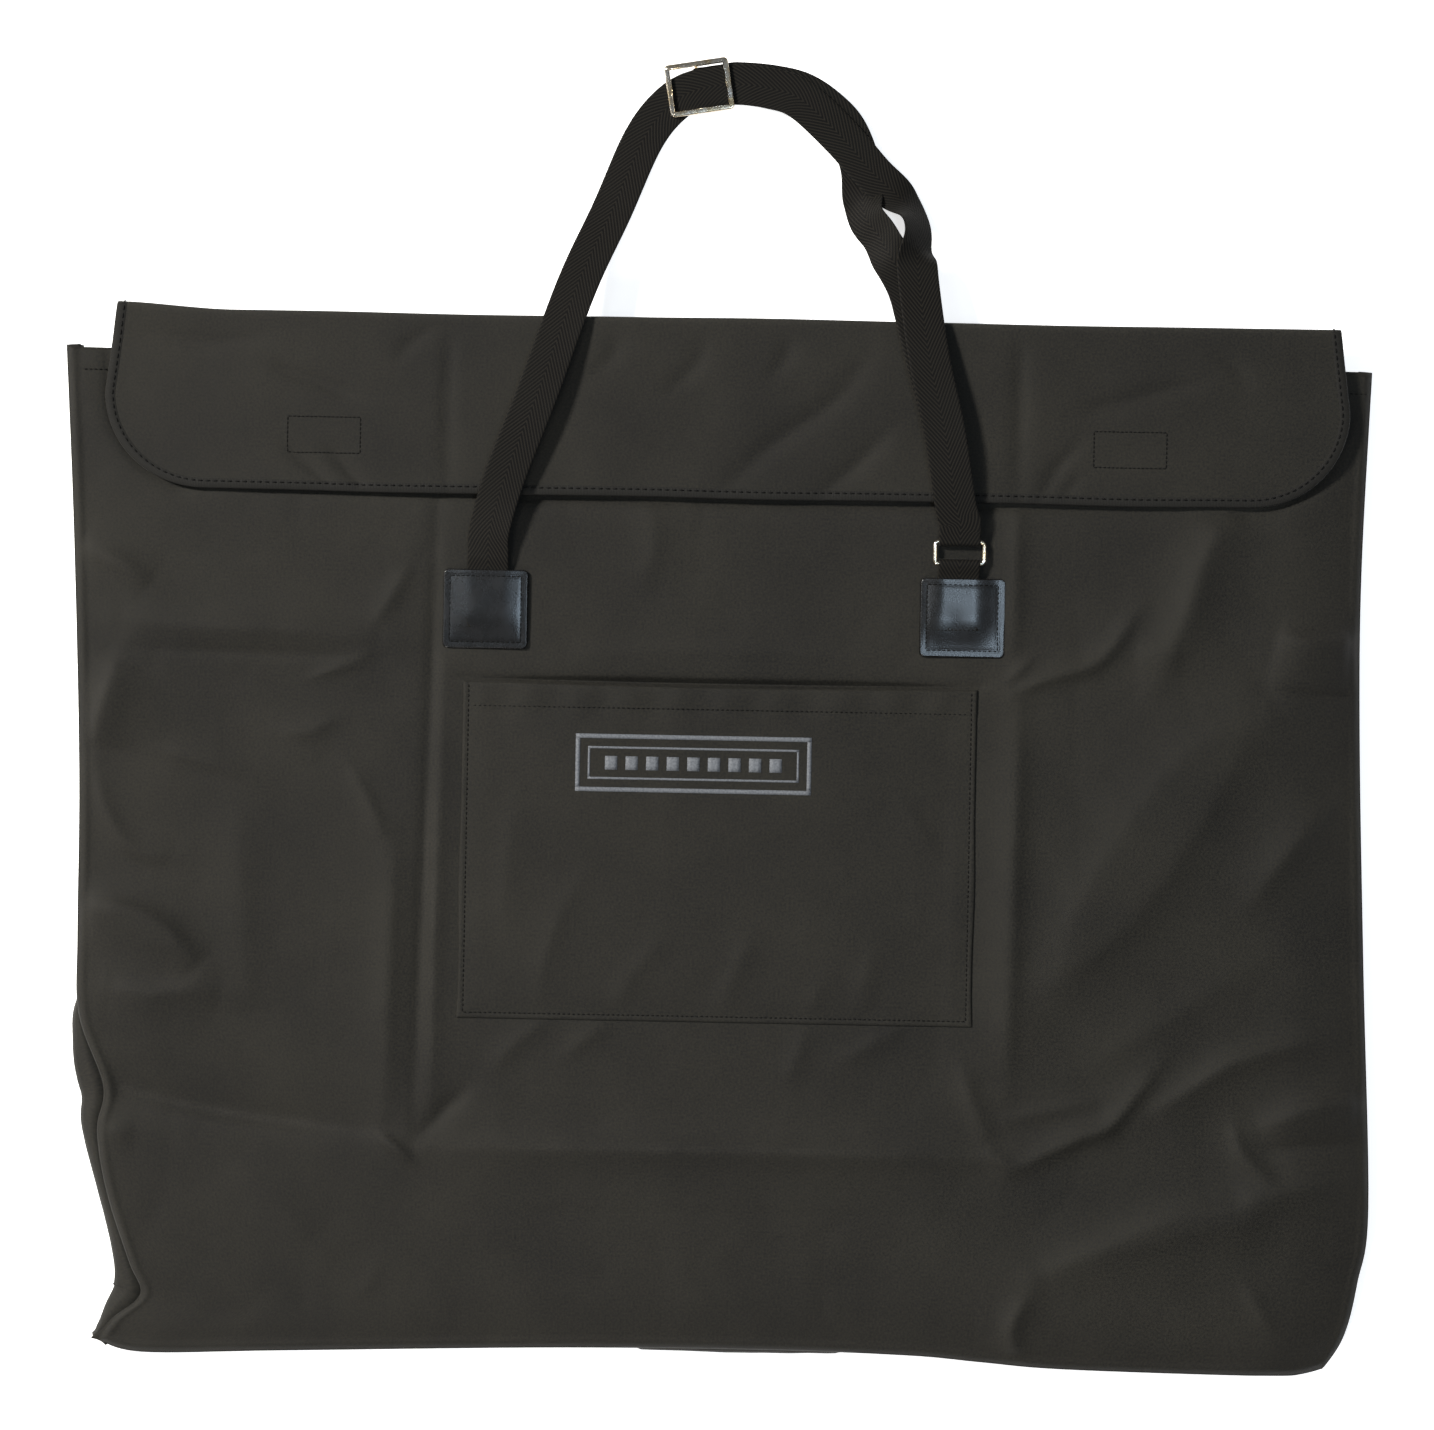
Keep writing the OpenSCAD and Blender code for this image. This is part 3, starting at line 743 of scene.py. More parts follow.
def front_plan():
    """The front panel's grid seen from above."""
    left = np.stack([LEFT_SEAM(YS), YS], axis=1)
    right = np.stack([RIGHT_SEAM(YS), YS], axis=1)
    low_x = across_from(left[0, 0], right[0, 0])
    top_x = across_from(left[-1, 0], right[-1, 0])
    bottom = np.stack([low_x, BOTTOM_SEAM(low_x)], axis=1)
    top = np.stack([top_x, MOUTH_EDGE(top_x)], axis=1)
    for row, line in ((0, bottom), (-1, top)):
        reach = np.exp(-np.abs(YS - YS[row]) / 12)[:, None]
        left += reach * (line[0] - left[row])
        right += reach * (line[-1] - right[row])
    return fill_grid(XS, YS, left, right, bottom, top)


def rim_of(grid):
    """The grid's border down the left side, along the bottom and up the right side."""
    return np.concatenate([grid[::-1, 0], grid[0, 1:], grid[1:, -1]])


def outward(rim):
    """The level direction out of the bag at each point of the rim."""
    along = np.gradient(rim[:, :2], axis=0)
    out = unit(np.stack([along[:, 1], -along[:, 0]], axis=1))
    return unit(np.stack([smoothed(column, 9) for column in out.T], axis=1))


def fold_offset(rim):
    """How far the gusset's middle fold lies outside the rim."""
    left, bottom, right = np.split(rim, [ROWS, ROWS + COLS - 1])
    offset = np.concatenate([LEFT_FOLD(left[:, 1]), BOTTOM_FOLD(bottom[:, 0]), RIGHT_FOLD(right[:, 1])])
    return smoothed(offset, 7)


def make_front_panel():
    """The front panel. Returns its grid."""
    plan = front_plan()
    x, y = plan[..., 0], plan[..., 1]
    front = np.dstack([x, y, front_height(x, y)])
    cloth = build("front_panel_cloth", front, grid_faces(ROWS, COLS), NYLON, PANEL_FLAT, front_wear(x, y))
    thicken(cloth, CLOTH)
    fit(cloth, "coated_nylon", "front_panel", body="case")
    return front


def make_gusset(rim, out, walked):
    """From the front seam in, or out, to the middle fold, and on to the back seam, which it returns."""
    fold = fold_offset(rim)
    back_out = np.maximum(fold - 4, -1.5)
    levels, depth = 9, 26
    strip = []
    for k in range(levels):
        share = k / (levels - 1)
        swell = np.sin(math.pi * share)
        level_z = rim[:, 2] * (1 - share) + BACK_Z * share
        bulge = swell**0.8 * (fold - back_out * share)
        ripple = 0.6 * soft_noise(np.arange(len(rim)) * 4.8, k * 3.0 + 0 * rim[:, 0], 24, 9) * swell
        away = back_out * share + bulge + ripple
        strip.append(np.column_stack([rim[:, :2] + out * away[:, None], level_z]))
    flat = np.dstack(np.meshgrid(walked, np.linspace(0, depth, levels)))
    cloth = build("gusset_cloth", strip, flipped(grid_faces(levels, len(rim))), NYLON, flat)
    thicken(cloth, CLOTH)
    fit(cloth, "coated_nylon", "side_gusset_left", "side_gusset_right", "bottom_gusset", body="case")
    return strip[-1]


def make_back_panel(seam):
    """The back panel fills the line that the gusset ends on."""
    left = seam[:ROWS][::-1, :2]
    bottom = seam[ROWS - 1:ROWS + COLS - 1, :2]
    right = seam[ROWS + COLS - 2:, :2]
    top = np.column_stack([across_from(left[-1, 0], right[-1, 0]), np.full(COLS, MOUTH_Y)])
    plan = fill_grid(XS, YS, left, right, bottom, top)
    x, y = plan[..., 0], plan[..., 1]
    gap = np.minimum(np.minimum(x - left[0, 0], right[0, 0] - x), y - BOTTOM_Y)
    sway = hills(x, y, (0.25, 60, 21), (0.2, 25, 22))
    creases = [(crest, 6, 6, abs(height)) for crest, _, _, height in STORAGE_CREASES]
    sway += 0.4 * stroke_height(x, y, creases)
    z = BACK_Z + np.maximum(sway, -0.2) * smooth_step(0, 20, gap)
    faces = flipped(grid_faces(ROWS, COLS))
    cloth = build("back_panel_cloth", np.dstack([x, y, z]), faces, NYLON, PANEL_FLAT)
    thicken(cloth, CLOTH)
    fit(cloth, "coated_nylon", "back_panel", body="case")


# How far in from a seam its tape's edges and the turns beside them lie
TAPE_LINES = np.array([1.5, 3.5, 8.5, 10.5])


def make_seam_tape(name, seam, out, walked, lift, under_front):
    """Bias tape over a raw seam inside."""
    tape = np.array([np.column_stack([seam[:, :2] - out * inset, seam[:, 2]]) for inset in TAPE_LINES])
    if under_front:
        tape[..., 2] = front_height(tape[..., 0], tape[..., 1])
    tape[..., 2] += lift
    flat = np.dstack(np.meshgrid(walked, TAPE_LINES)[::-1])
    piece = build(name + "_tape", tape, grid_faces(len(TAPE_LINES), len(seam)), TAPE, flat)
    thicken(piece, 0.6)
    fit(piece, "seam_tape", name, body="case")


def make_case():
    rim = rim_of(make_front_panel())
    out = outward(rim)
    walked = distance_along(rim)
    back_seam = make_gusset(rim, out, walked)
    back_seam[[0, -1], 1] = MOUTH_Y
    make_back_panel(back_seam)
    make_seam_tape("front_seam_binding", rim, out, walked, -1.4, True)
    make_seam_tape("back_seam_binding", back_seam, out, walked, 0.5, False)


# ---- Stitches ----

def laid_stitches(middles, halves, surface, radius):
    """One stitch for each middle and half-length, on a surface that gives points and normals."""
    share = np.linspace(-1, 1, 5)
    plan = middles[:, None] + halves[:, None] * share[None, :, None]
    points, normals = surface(plan.reshape(-1, 2))
    arch = np.tile(0.3 * (1 - share**2) - 0.12, len(middles))
    paths = (points + normals * arch[:, None]).reshape(len(middles), len(share), 3)
    taper = radius * np.array([0.55, 0.95, 1, 0.95, 0.55])
    return joined([tube(path, taper) for path in paths])


def stitch_row(corners, surface, pitch=3.6, length=2.3, radius=0.42, closed=False):
    """Points and faces of a row of stitches along a line, each a short thread that dips in at both ends."""
    line = np.array(corners + corners[:1] if closed else corners, float)
    middles, halves = [], []
    for a, b in zip(line, line[1:]):
        count = max(1, round(np.linalg.norm(b - a) / pitch))
        share = (np.arange(count)[:, None] + 0.5) / count
        middles.append(a + (b - a) * share)
        halves.append(np.tile(unit(b - a) * length / 2, (count, 1)))
    return laid_stitches(np.concatenate(middles), np.concatenate(halves), surface, radius)


def add_stitches(name, rows, body, node):
    fit(build(name, *joined(rows), THREAD), "thread", node, body=body)


def level_surface(height):
    """A surface given by its height over the plan, for stitches that lie on it."""
    return lambda plan: (
        np.column_stack([plan, height(plan[:, 0], plan[:, 1])]),
        np.tile(UP, (len(plan), 1)),
    )


# ---- Pocket ----

POCKET_MID, POCKET_HALF = centre_and_half(POCKET_LOW, POCKET_HIGH)
POCKET_INSET = 4.0
POCKET_HEM = 18.0
POCKET_STROKES = [
    ([(166, -3), (146, 26), (126, 58)], 5, 5, 0.9),
    ([(118, 40), (138, 18), (158, -6)], 8, 8, 0.5),
    ([(-158, -52), (-155, 0), (-148, 48)], 14, 8, 1.1),
    ([(-133, -110), (-121, -56), (-98, -6)], 11, 12, 1.7),
    ([(-76, -112), (-60, -80), (-38, -56)], 11, 10, 1.4),
    ([(4, -108), (13, -80), (26, -52)], 11, 9, 1.4),
    ([(68, -114), (72, -98), (78, -82)], 7, 6, 0.9),
    ([(104, -112), (108, -84), (118, -52)], 15, 9, 1.2),
]
# Gathers along the hem of the pocket's mouth
GATHER_Y, GATHER_PITCH, GATHER_HEIGHT = 116.0, 37.0, 0.55


def pocket_gaps(x, y):
    """How far in from the pocket's nearer side a place is, and from the nearest of its three sewn sides."""
    side_gap = np.minimum(x - POCKET_LOW[0], POCKET_HIGH[0] - x)
    return side_gap, np.minimum(side_gap, y - POCKET_LOW[1])


def pocket_lift(x, y):
    """How far the pocket's cloth lies above the front panel."""
    side_gap, gap = pocket_gaps(x, y)
    up = smooth_step(POCKET_LOW[1], POCKET_HIGH[1], y)
    gape = (1.0 + 2.6 * up**3) * smooth_step(POCKET_INSET, 120, side_gap)
    gathered = np.sin(2 * math.pi * x / GATHER_PITCH + 1.5 * soft_noise(x, 0 * y, 90, 33))
    puckers = stroke_height(x, y, POCKET_STROKES) + GATHER_HEIGHT * gathered * bell(y, GATHER_Y, 11)
    free = smooth_step(POCKET_INSET, 45, gap)
    return 0.15 + free * gape + smooth_step(POCKET_INSET, 16, gap) * (0.5 + puckers)


def pocket_top(x, y):
    """Height of the pocket's outer face, with its hem and the dip along its seam."""
    dip = -0.16 * bell(pocket_gaps(x, y)[1], POCKET_INSET, 1.2)
    hem = 0.5 * smooth_step(POCKET_HIGH[1] - POCKET_HEM - 0.5, POCKET_HIGH[1] - POCKET_HEM + 1.0, y)
    return front_height(x, y) + pocket_lift(x, y) + 1.3 + dip + hem


def make_pocket():
    xs = stations(POCKET_LOW[0], POCKET_HIGH[0], 3.6, 1.0, 7)
    ys = stations(POCKET_LOW[1], POCKET_HIGH[1], 3.6, 1.0, 7)
    x, y = np.meshgrid(xs, ys)
    x = x + 1.2 * soft_noise(x * 0, y, 60, 31) * np.sign(x) * smooth_step(120, 187, np.abs(x))
    y = y - 1.6 * (1 - ((x - POCKET_MID[0]) / POCKET_HALF[0]) ** 2) * smooth_step(60, POCKET_HIGH[1], y)
    rim = np.minimum(pocket_gaps(x, y)[1], POCKET_HIGH[1] - y)
    round_edge = 0.7 * np.exp(-np.maximum(rim, 0) / 0.6)
    top = np.dstack([x, y, pocket_top(x, y) - round_edge])
    low = np.dstack([x, y, front_height(x, y) + pocket_lift(x, y)])
    # the flat places are shifted, so that the panel's mottling doesn't run on over the pocket
    pocket = closed_sheet("pocket_cloth", top, low, NYLON, np.dstack([x + 37, y + 11]))
    fit(pocket, "coated_nylon", "front_pocket", body="case")


def make_pocket_stitches():
    surface = level_surface(pocket_top)
    left, right = POCKET_LOW[0] + POCKET_INSET, POCKET_HIGH[0] - POCKET_INSET
    low_y, top_y = POCKET_LOW[1] + POCKET_INSET, POCKET_HIGH[1] - 2
    sides = stitch_row([(left, top_y), (left, low_y), (right, low_y), (right, top_y)], surface)
    add_stitches("pocket_seam_stitches", [sides], "case", "pocket_stitching")
    hem_y = POCKET_HIGH[1] - POCKET_HEM
    hem = stitch_row([(left + 3, hem_y), (right - 3, hem_y)], surface)
    add_stitches("pocket_hem_stitches", [hem], "case", "pocket_hem_stitching")


PRINT_MID = np.array([-20.0, 71.0])


def printed_bar(x0, y0, x1, y1):
    """Points and faces of a rectangle printed on the pocket, placed from the print's middle."""
    cols, rows = (max(2, round(abs(length) / 3) + 1) for length in (x1 - x0, y1 - y0))
    x, y = np.meshgrid(np.linspace(x0, x1, cols) + PRINT_MID[0], np.linspace(y0, y1, rows) + PRINT_MID[1])
    return np.dstack([x, y, pocket_top(x, y) + 0.12]).reshape(-1, 3), grid_faces(rows, cols)


def printed_outline(half_w, half_h, wide):
    """The four bars of a frame's outline."""
    return [
        printed_bar(-half_w, -half_h, half_w, -half_h + wide),
        printed_bar(-half_w, half_h - wide, half_w, half_h),
        printed_bar(-half_w, -half_h + wide, -half_w + wide, half_h - wide),
        printed_bar(half_w - wide, -half_h + wide, half_w, half_h - wide),
    ]


def make_print():
    """A plain printed mark: a double frame round nine squares in a row."""
    squares = [printed_bar(x - 4.5, -5, x + 4.5, 5) for x in 15.0 * np.arange(-4, 5)]
    parts = printed_outline(86, 21, 3.2) + printed_outline(77, 12, 1.6) + squares
    mark = build("pocket_print", *joined(parts), INK)
    thicken(mark, 0.08, 1.0)
    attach(mark, "case")


# ---- Closure tapes ----

def tape_pad(name, low, high, height, thickness, seed):
    """A piece of hook-and-loop tape with a fuzzy face. A negative thickness turns the face down."""
    mid, half = centre_and_half(low, high)
    x, y = np.meshgrid(stations(-half[0], half[0], 0.9), stations(-half[1], half[1], 0.9))
    x, y = round_corners(x, y, half, 2)
    gap = np.minimum(half[0] - np.abs(x), half[1] - np.abs(y))
    fuzz = np.random.RandomState(seed).uniform(0, 0.35, x.shape) * smooth_step(0.5, 3, gap)
    x, y = x + mid[0], y + mid[1]
    base = height(x, y)
    face = base + np.sign(thickness) * (abs(thickness) * (0.5 + 0.5 * smooth_step(0, 0.8, gap)) + fuzz)
    top, bottom = np.dstack([x, y, face]), np.dstack([x, y, base])
    if thickness < 0:
        top, bottom = bottom, top
    return closed_sheet(name, top, bottom, PILE)


def make_loop_tapes():
    for side, (low, high) in LOOPS.items():
        piece = tape_pad("loop_tape_" + side, low, high, lambda x, y: front_height(x, y) + 0.05, 0.7, 41)
        fit(piece, "hook_and_loop", "loop_patch_" + side, body="case")


def make_hem_stitches():
    line = [(-HALF_W + 4, HEM_Y), (HALF_W - 6, HEM_Y)]
    row = stitch_row(line, level_surface(front_height))
    add_stitches("mouth_hem_stitches", [row], "case", "mouth_hem_stitching")


# ---- Flap ----

ROOT_Y, ROOT_Z = STRIP_LOW[1], 1.0
FOLD_Y, FOLD_Z = np.array(JOINTS["flap_fold"]["pos_m"][1:3]) / MM
STRIP_LEN = math.hypot(FOLD_Y - ROOT_Y, FOLD_Z - ROOT_Z)
STRIP_SLOPE = math.atan2(FOLD_Z - ROOT_Z, FOLD_Y - ROOT_Y)
LEAF_LEN = FOLD_Y - LEAF_LOW[1]
FLAP_LEN = STRIP_LEN + LEAF_LEN
FLAP_HALF = LEAF_HIGH[0]
FLAP_ROOT_HALF = STRIP_HIGH[0]
FLAP_CORNER = 72.0
# How far down the leaf the flap goes on widening
FLAP_WIDENS = 62.0
# The rounded fold: its radius, the cloth it takes from each side, its own length, and the cloth's scale
FOLD_ROUND = 2.0
FOLD_REACH = FOLD_ROUND / math.tan(STRIP_SLOPE / 2)
FOLD_ARC = FOLD_ROUND * (math.pi - STRIP_SLOPE)
FOLD_SCALE = (FLAP_LEN - (2 * FOLD_REACH - FOLD_ARC)) / FLAP_LEN
# They are all valleys, so that the open flap still lies on the floor with its outer face down
FLAP_STROKES = [
    ([(-336, 357), (-300, 345), (-264, 331)], 5.5, 5.5, -2.8),
    ([(-261, 266), (-275, 280), (-291, 297)], 4, 5, -2.5),
    ([(-287, 270), (-305, 284), (-323, 299)], 4, 4, -2.1),
    ([(-242, 362), (-224, 382), (-198, 396)], 5, 7, -2.1),
    ([(-4, 270), (33, 305), (78, 338), (104, 374)], 9, 10, -2.8),
    ([(64, 266), (94, 290), (122, 320)], 7, 9.5, -2.5),
    ([(-48, 340), (-24, 362), (-18, 384)], 6.5, 5.5, -1.6),
    ([(28, 352), (42, 370), (40, 392)], 6.5, 5.5, -1.8),
    ([(-100, 352), (-84, 370), (-82, 392)], 7, 5.5, -1.6),
    ([(254, 332), (298, 344), (350, 358)], 8, 6.5, -2.5),
    ([(227, 266), (241, 292), (259, 313)], 5, 4, -2.1),
    ([(246, 270), (258, 288)], 4, 4, -1.4),
    ([(-203, 262), (-204, 330), (-203, 400)], 4, 4, -1.6),
    ([(214, 258), (213, 330), (213, 400)], 5, 5, -2.1),
    ([(350, 384), (372, 366), (378, 350)], 5.5, 5.5, -1.4),
    ([(-420, 380), (-380, 372), (-330, 380)], 8, 8, -1.4),
]


def flap_half_width(b):
    """Half the flap's width, b millimetres along the cloth from its root."""
    leaf = np.clip(b - STRIP_LEN, 0, None)
    widening = np.interp(leaf, [0, FLAP_WIDENS], [0, FLAP_HALF - FLAP_ROOT_HALF])
    from_end = np.clip(LEAF_LEN - leaf, 0, FLAP_CORNER)
    corner = FLAP_CORNER - np.sqrt(np.maximum(FLAP_CORNER**2 - (FLAP_CORNER - from_end) ** 2, 0))
    return FLAP_ROOT_HALF + widening - corner


def flap_surface(x, b):
    """The flap's middle surface at x across and b along the cloth: the strip, the fold and the leaf."""
    x, b = np.broadcast_arrays(np.asarray(x, float), np.asarray(b, float))
    s = b * FOLD_SCALE
    up_len = STRIP_LEN - FOLD_REACH
    on_strip = np.clip(s, 0, up_len)
    turn = np.clip((s - up_len) / FOLD_ARC, 0, 1) * (math.pi - STRIP_SLOPE)
    on_leaf = np.clip(s - up_len - FOLD_ARC, 0, None)
    start_y = ROOT_Y + on_strip * math.cos(STRIP_SLOPE)
    start_z = ROOT_Z + on_strip * math.sin(STRIP_SLOPE)
    y = start_y + FOLD_ROUND * (np.sin(STRIP_SLOPE + turn) - math.sin(STRIP_SLOPE)) - on_leaf
    z = start_z + FOLD_ROUND * (math.cos(STRIP_SLOPE) - np.cos(STRIP_SLOPE + turn))
    droop = -2.0 * smooth_step(0.72, 1.0, np.abs(x) / FLAP_HALF) - 0.7 * smooth_step(60, LEAF_LEN, on_leaf)
    relief = stroke_height(x, y, FLAP_STROKES) + hills(x, y, (0.35, 60, 51), (0.2, 26, 52))
    z = z + smooth_step(0, 25, on_leaf) * (droop + relief)
    strip = np.sin(math.pi * np.clip(b / STRIP_LEN, 0, 1))
    z = z + strip * (0.8 * soft_noise(x, b, 55, 53) - 0.5)
    ear = 4.5 * smooth_step(-360, -446, x) * bell(b, STRIP_LEN, 24)
    fold_wave = 0.8 * soft_noise(x, 0 * x, 110, 54) * bell(b, STRIP_LEN, 30)
    edge_wave = 0.9 * soft_noise(x, 0 * x + 50, 90, 55) * smooth_step(0.8, 1, b / FLAP_LEN)
    return np.stack([x, y + ear + fold_wave + edge_wave, z], axis=-1)


def flap_frame(x, b, step=0.6):
    """The surface's points and its upward normals."""
    across = flap_surface(x + step, b) - flap_surface(x - step, b)
    along = flap_surface(x, b + step) - flap_surface(x, np.maximum(b - step, 0))
    return flap_surface(x, b), unit(-np.cross(across, along))


def flap_face(lift, by_plan=False):
    """The flap's outer face, for stitches: places are (x, b) on the cloth, or (x, y) over the leaf."""
    def surface(plan):
        b = STRIP_LEN + FOLD_Y - plan[:, 1] if by_plan else plan[:, 1]
        points, normals = flap_frame(plan[:, 0], b)
        return points + normals * lift, normals
    return surface


def flap_outline(inset):
    """The flap's border at an inset: up its left side, round the free end and down the right side."""
    b = np.linspace(0, FLAP_LEN - FLAP_CORNER, 60)
    angle = np.linspace(0, math.pi / 2, 28)[1:]
    centre = np.array([-FLAP_HALF + FLAP_CORNER, FLAP_LEN - FLAP_CORNER])
    arc = centre + FLAP_CORNER * np.column_stack([-np.cos(angle), np.sin(angle)])
    side = np.vstack([np.column_stack([-flap_half_width(b), b]), arc])
    line, _ = resample(np.vstack([side, side[::-1] * [-1, 1]]), 3.0)
    along = np.gradient(line, axis=0)
    return line + unit(np.column_stack([along[:, 1], -along[:, 0]])) * inset


def fit_flap(piece, slot, *nodes):
    """The flap's pieces are built bent at the fold between its strip and its leaf. This bakes each one's
    place into its mesh and hides its CAD nodes, with no body.
    """
    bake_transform(piece)
    fit(piece, slot, *nodes)


def make_flap_cloth():
    near_fold = 9
    b = np.concatenate([
        np.linspace(0, STRIP_LEN - near_fold, 10)[:-1],
        np.linspace(STRIP_LEN - near_fold, STRIP_LEN + near_fold, 26)[:-1],
        np.linspace(STRIP_LEN + near_fold, FLAP_LEN, 38),
    ])
    t = stations(-1, 1, 4.6 / FLAP_HALF, 1.5 / FLAP_HALF, 10 / FLAP_HALF)
    x = flap_half_width(b)[:, None] * t
    cloth_b = np.repeat(b[:, None], len(t), axis=1)
    wear = 0.7 * bell(cloth_b, STRIP_LEN, 3.0)
    faces = flipped(grid_faces(len(b), len(t)))
    flap = build("flap_cloth", flap_surface(x, cloth_b), faces, NYLON, np.dstack([x, cloth_b]), wear.ravel())
    thicken(flap, CLOTH, 0.0)
    fit_flap(flap, "coated_nylon", "flap_top_strip", "flap_leaf")


# The binding's section, from its upper edge round the flap's border to its lower edge, as (inset, lift)
BINDING_UPPER = [(7.0, 0.42), (6.6, 0.6), (3.5, 0.72), (0.4, 0.65)]
BINDING_SECTION = BINDING_UPPER + [(-0.5, 0.0)] + [(inset, -lift) for inset, lift in reversed(BINDING_UPPER)]


def make_flap_binding():
    """A tape folded over the flap's border."""
    lines = []
    for inset, lift in BINDING_SECTION:
        line = flap_outline(inset)
        points, normals = flap_frame(line[:, 0], np.clip(line[:, 1], 0, None))
        lines.append(points + normals * lift)
    insets = [inset for inset, lift in BINDING_SECTION]
    walked = distance_along(flap_outline(insets[0]))
    flat = np.dstack(np.meshgrid(walked, insets)[::-1])
    binding = build("flap_binding_tape", lines, grid_faces(len(insets), len(walked)), TAPE, flat)
    fit_flap(binding, "seam_tape", "flap_edge_binding")


def make_flap_stitches():
    """Stitches along the binding, from just past the root on one side to the other."""
    line, _ = resample(flap_outline(5.0), 5.4)
    line = line[line[:, 1] > 4]
    middles, halves = (line[1:] + line[:-1]) / 2, (line[1:] - line[:-1]) * 0.31
    stitches = build("flap_binding_stitches", *laid_stitches(middles, halves, flap_face(0.72), 0.55), THREAD)
    fit_flap(stitches, "thread", "flap_edge_stitching")


def leaf_inner_height(x, y):
    """Height of the leaf's inner face at a place over it."""
    return flap_surface(x, STRIP_LEN + (FOLD_Y - y))[..., 2] - CLOTH / 2 - 0.05


def make_hook_tapes():
    rows = []
    for side, (low, high) in HOOKS.items():
        piece = tape_pad("hook_tape_" + side, low, high, leaf_inner_height, -0.6, 43)
        fit(piece, "hook_and_loop", "hook_patch_" + side, body="flap")
        rows.append(stitch_row(rectangle(low, high, 1.5), flap_face(CLOTH / 2, True), 3.2, 2.5, closed=True))
    add_stitches("hook_tape_stitches", rows, "flap", "hook_patch_stitching")


# ---- Leather patches ----

# Where the webbing's middle runs under each patch, and how far the patch leans to its own side
WEBBING_X = {"left": centre_and_half(*box_mm("strap_sewn_end"))[0][0], "right": 171.0}
PATCH_LEAN = {"left": 0.03, "right": -0.02}
PATCH_CORNER = 4.0
PATCH_T = 1.2
PATCH_INSET = 5.0


def patch_top(side, x, y):
    """Height of a leather patch's face: a pad raised where the webbing runs under it."""
    low, high = PATCHES[side]
    mid, half = centre_and_half(low, high)
    dx, dy = x - mid[0], y - mid[1]
    raised = (high[2] - FRONT_Z - PATCH_T - 0.2) * smooth_step(low[1] + 4, low[1] + 28, y)
    bulge = raised * (1 - smooth_step(10, 31, np.abs(x - WEBBING_X[side])))
    crown = 0.35 * (1 - (dx / half[0]) ** 2) * (1 - (dy / half[1]) ** 2) + PATCH_LEAN[side] * dx
    if side == "right":
        crown = crown - 0.5 * bell(dx, -10, 9) * bell(dy, -3, 10)
    seam = np.minimum(half[0] - np.abs(dx), half[1] - np.abs(dy))
    dip = -0.18 * bell(seam, PATCH_INSET, 1.1)
    wobble = 0.12 * soft_noise(x, y, 26, 61) * smooth_step(3, 10, seam)
    return FRONT_Z + PATCH_T + bulge + crown + dip + wobble


def patch_gap(x, y, half):
    """How far in from a patch's edge a place is, with x and y taken from its middle."""
    dx, dy = half[0] - np.abs(x), half[1] - np.abs(y)
    from_corner = np.hypot(np.maximum(PATCH_CORNER - dx, 0), np.maximum(PATCH_CORNER - dy, 0))
    return np.minimum(PATCH_CORNER - from_corner, np.minimum(dx, dy))


def make_patches():
    for side, (low, high) in PATCHES.items():
        mid, half = centre_and_half(low, high)
        x, y = np.meshgrid(*(stations(-size, size, 1.2, 0.25, 1.5) for size in half[:2]))
        x, y = round_corners(x, y, half, PATCH_CORNER)
        edge = np.sqrt(np.clip(1 - (1 - np.clip(patch_gap(x, y, half) / 0.9, 0, 1)) ** 2, 0, 1))
        x, y = x + mid[0], y + mid[1]
        seat = front_height(x, y) + 0.02
        face = patch_top(side, x, y)
        top = np.dstack([x, y, seat + 0.25 + (face - seat - 0.25) * edge])
        bottom = np.dstack([x, y, np.minimum(seat, face - 1.0)])
        patch = closed_sheet("leather_patch_" + side, top, bottom, LEATHER)
        fit(patch, "leather", "anchor_patch_" + side, body="case")
        surface = level_surface(lambda x, y, side=side: patch_top(side, x, y))
        row = stitch_row(rectangle(low, high, PATCH_INSET), surface, 3.7, 2.9, closed=True)
        add_stitches("patch_stitches_" + side, [row], "case", "patch_stitching_" + side)


# ---- Strap ----

WEBBING_W = 30.0
WEBBING_T = 1.4
RIB_DEPTH = 0.24
RIB_COLUMNS = 21

# The strap's route seen from the front
SEWN_X, PIVOT_Y, PIVOT_Z = -172.5, 221.0, 29.5
RING_X = (RING_LOW[0] + RING_HIGH[0]) / 2
RING_WIRE = RING_HIGH[2] - RING_LOW[2]
RING_TOP_Y = RING_HIGH[1] - RING_WIRE / 2
TURN_RADIUS = RING_WIRE / 2 + 0.1 + WEBBING_T / 2
PATCH_TOP_Y = PATCHES["left"][1][1]
SLIDER_MID, SLIDER_HALF = centre_and_half(SLIDER_LOW, SLIDER_HIGH)
SLIDER_AXIS = np.array(JOINTS["slider_slide"]["axis"], float)
ROD_Z = box_mm("slider_centre_bar")[0][2] + 1.1
LOOP_RADIUS = 1.15 + WEBBING_T / 2
LAYER_PITCH = 1.9
# Heights of the main run: at its sewn end, at the peak of its left and right side, and at its lowest
SEWN_Z, LEFT_PEAK_Z, RIGHT_PEAK_Z = 27.0, 40.0, 42.0
MAIN_LOW_Z = ROD_Z + LOOP_RADIUS + LAYER_PITCH
PEAK_Y, LOW_Y = 335.0, 552.0
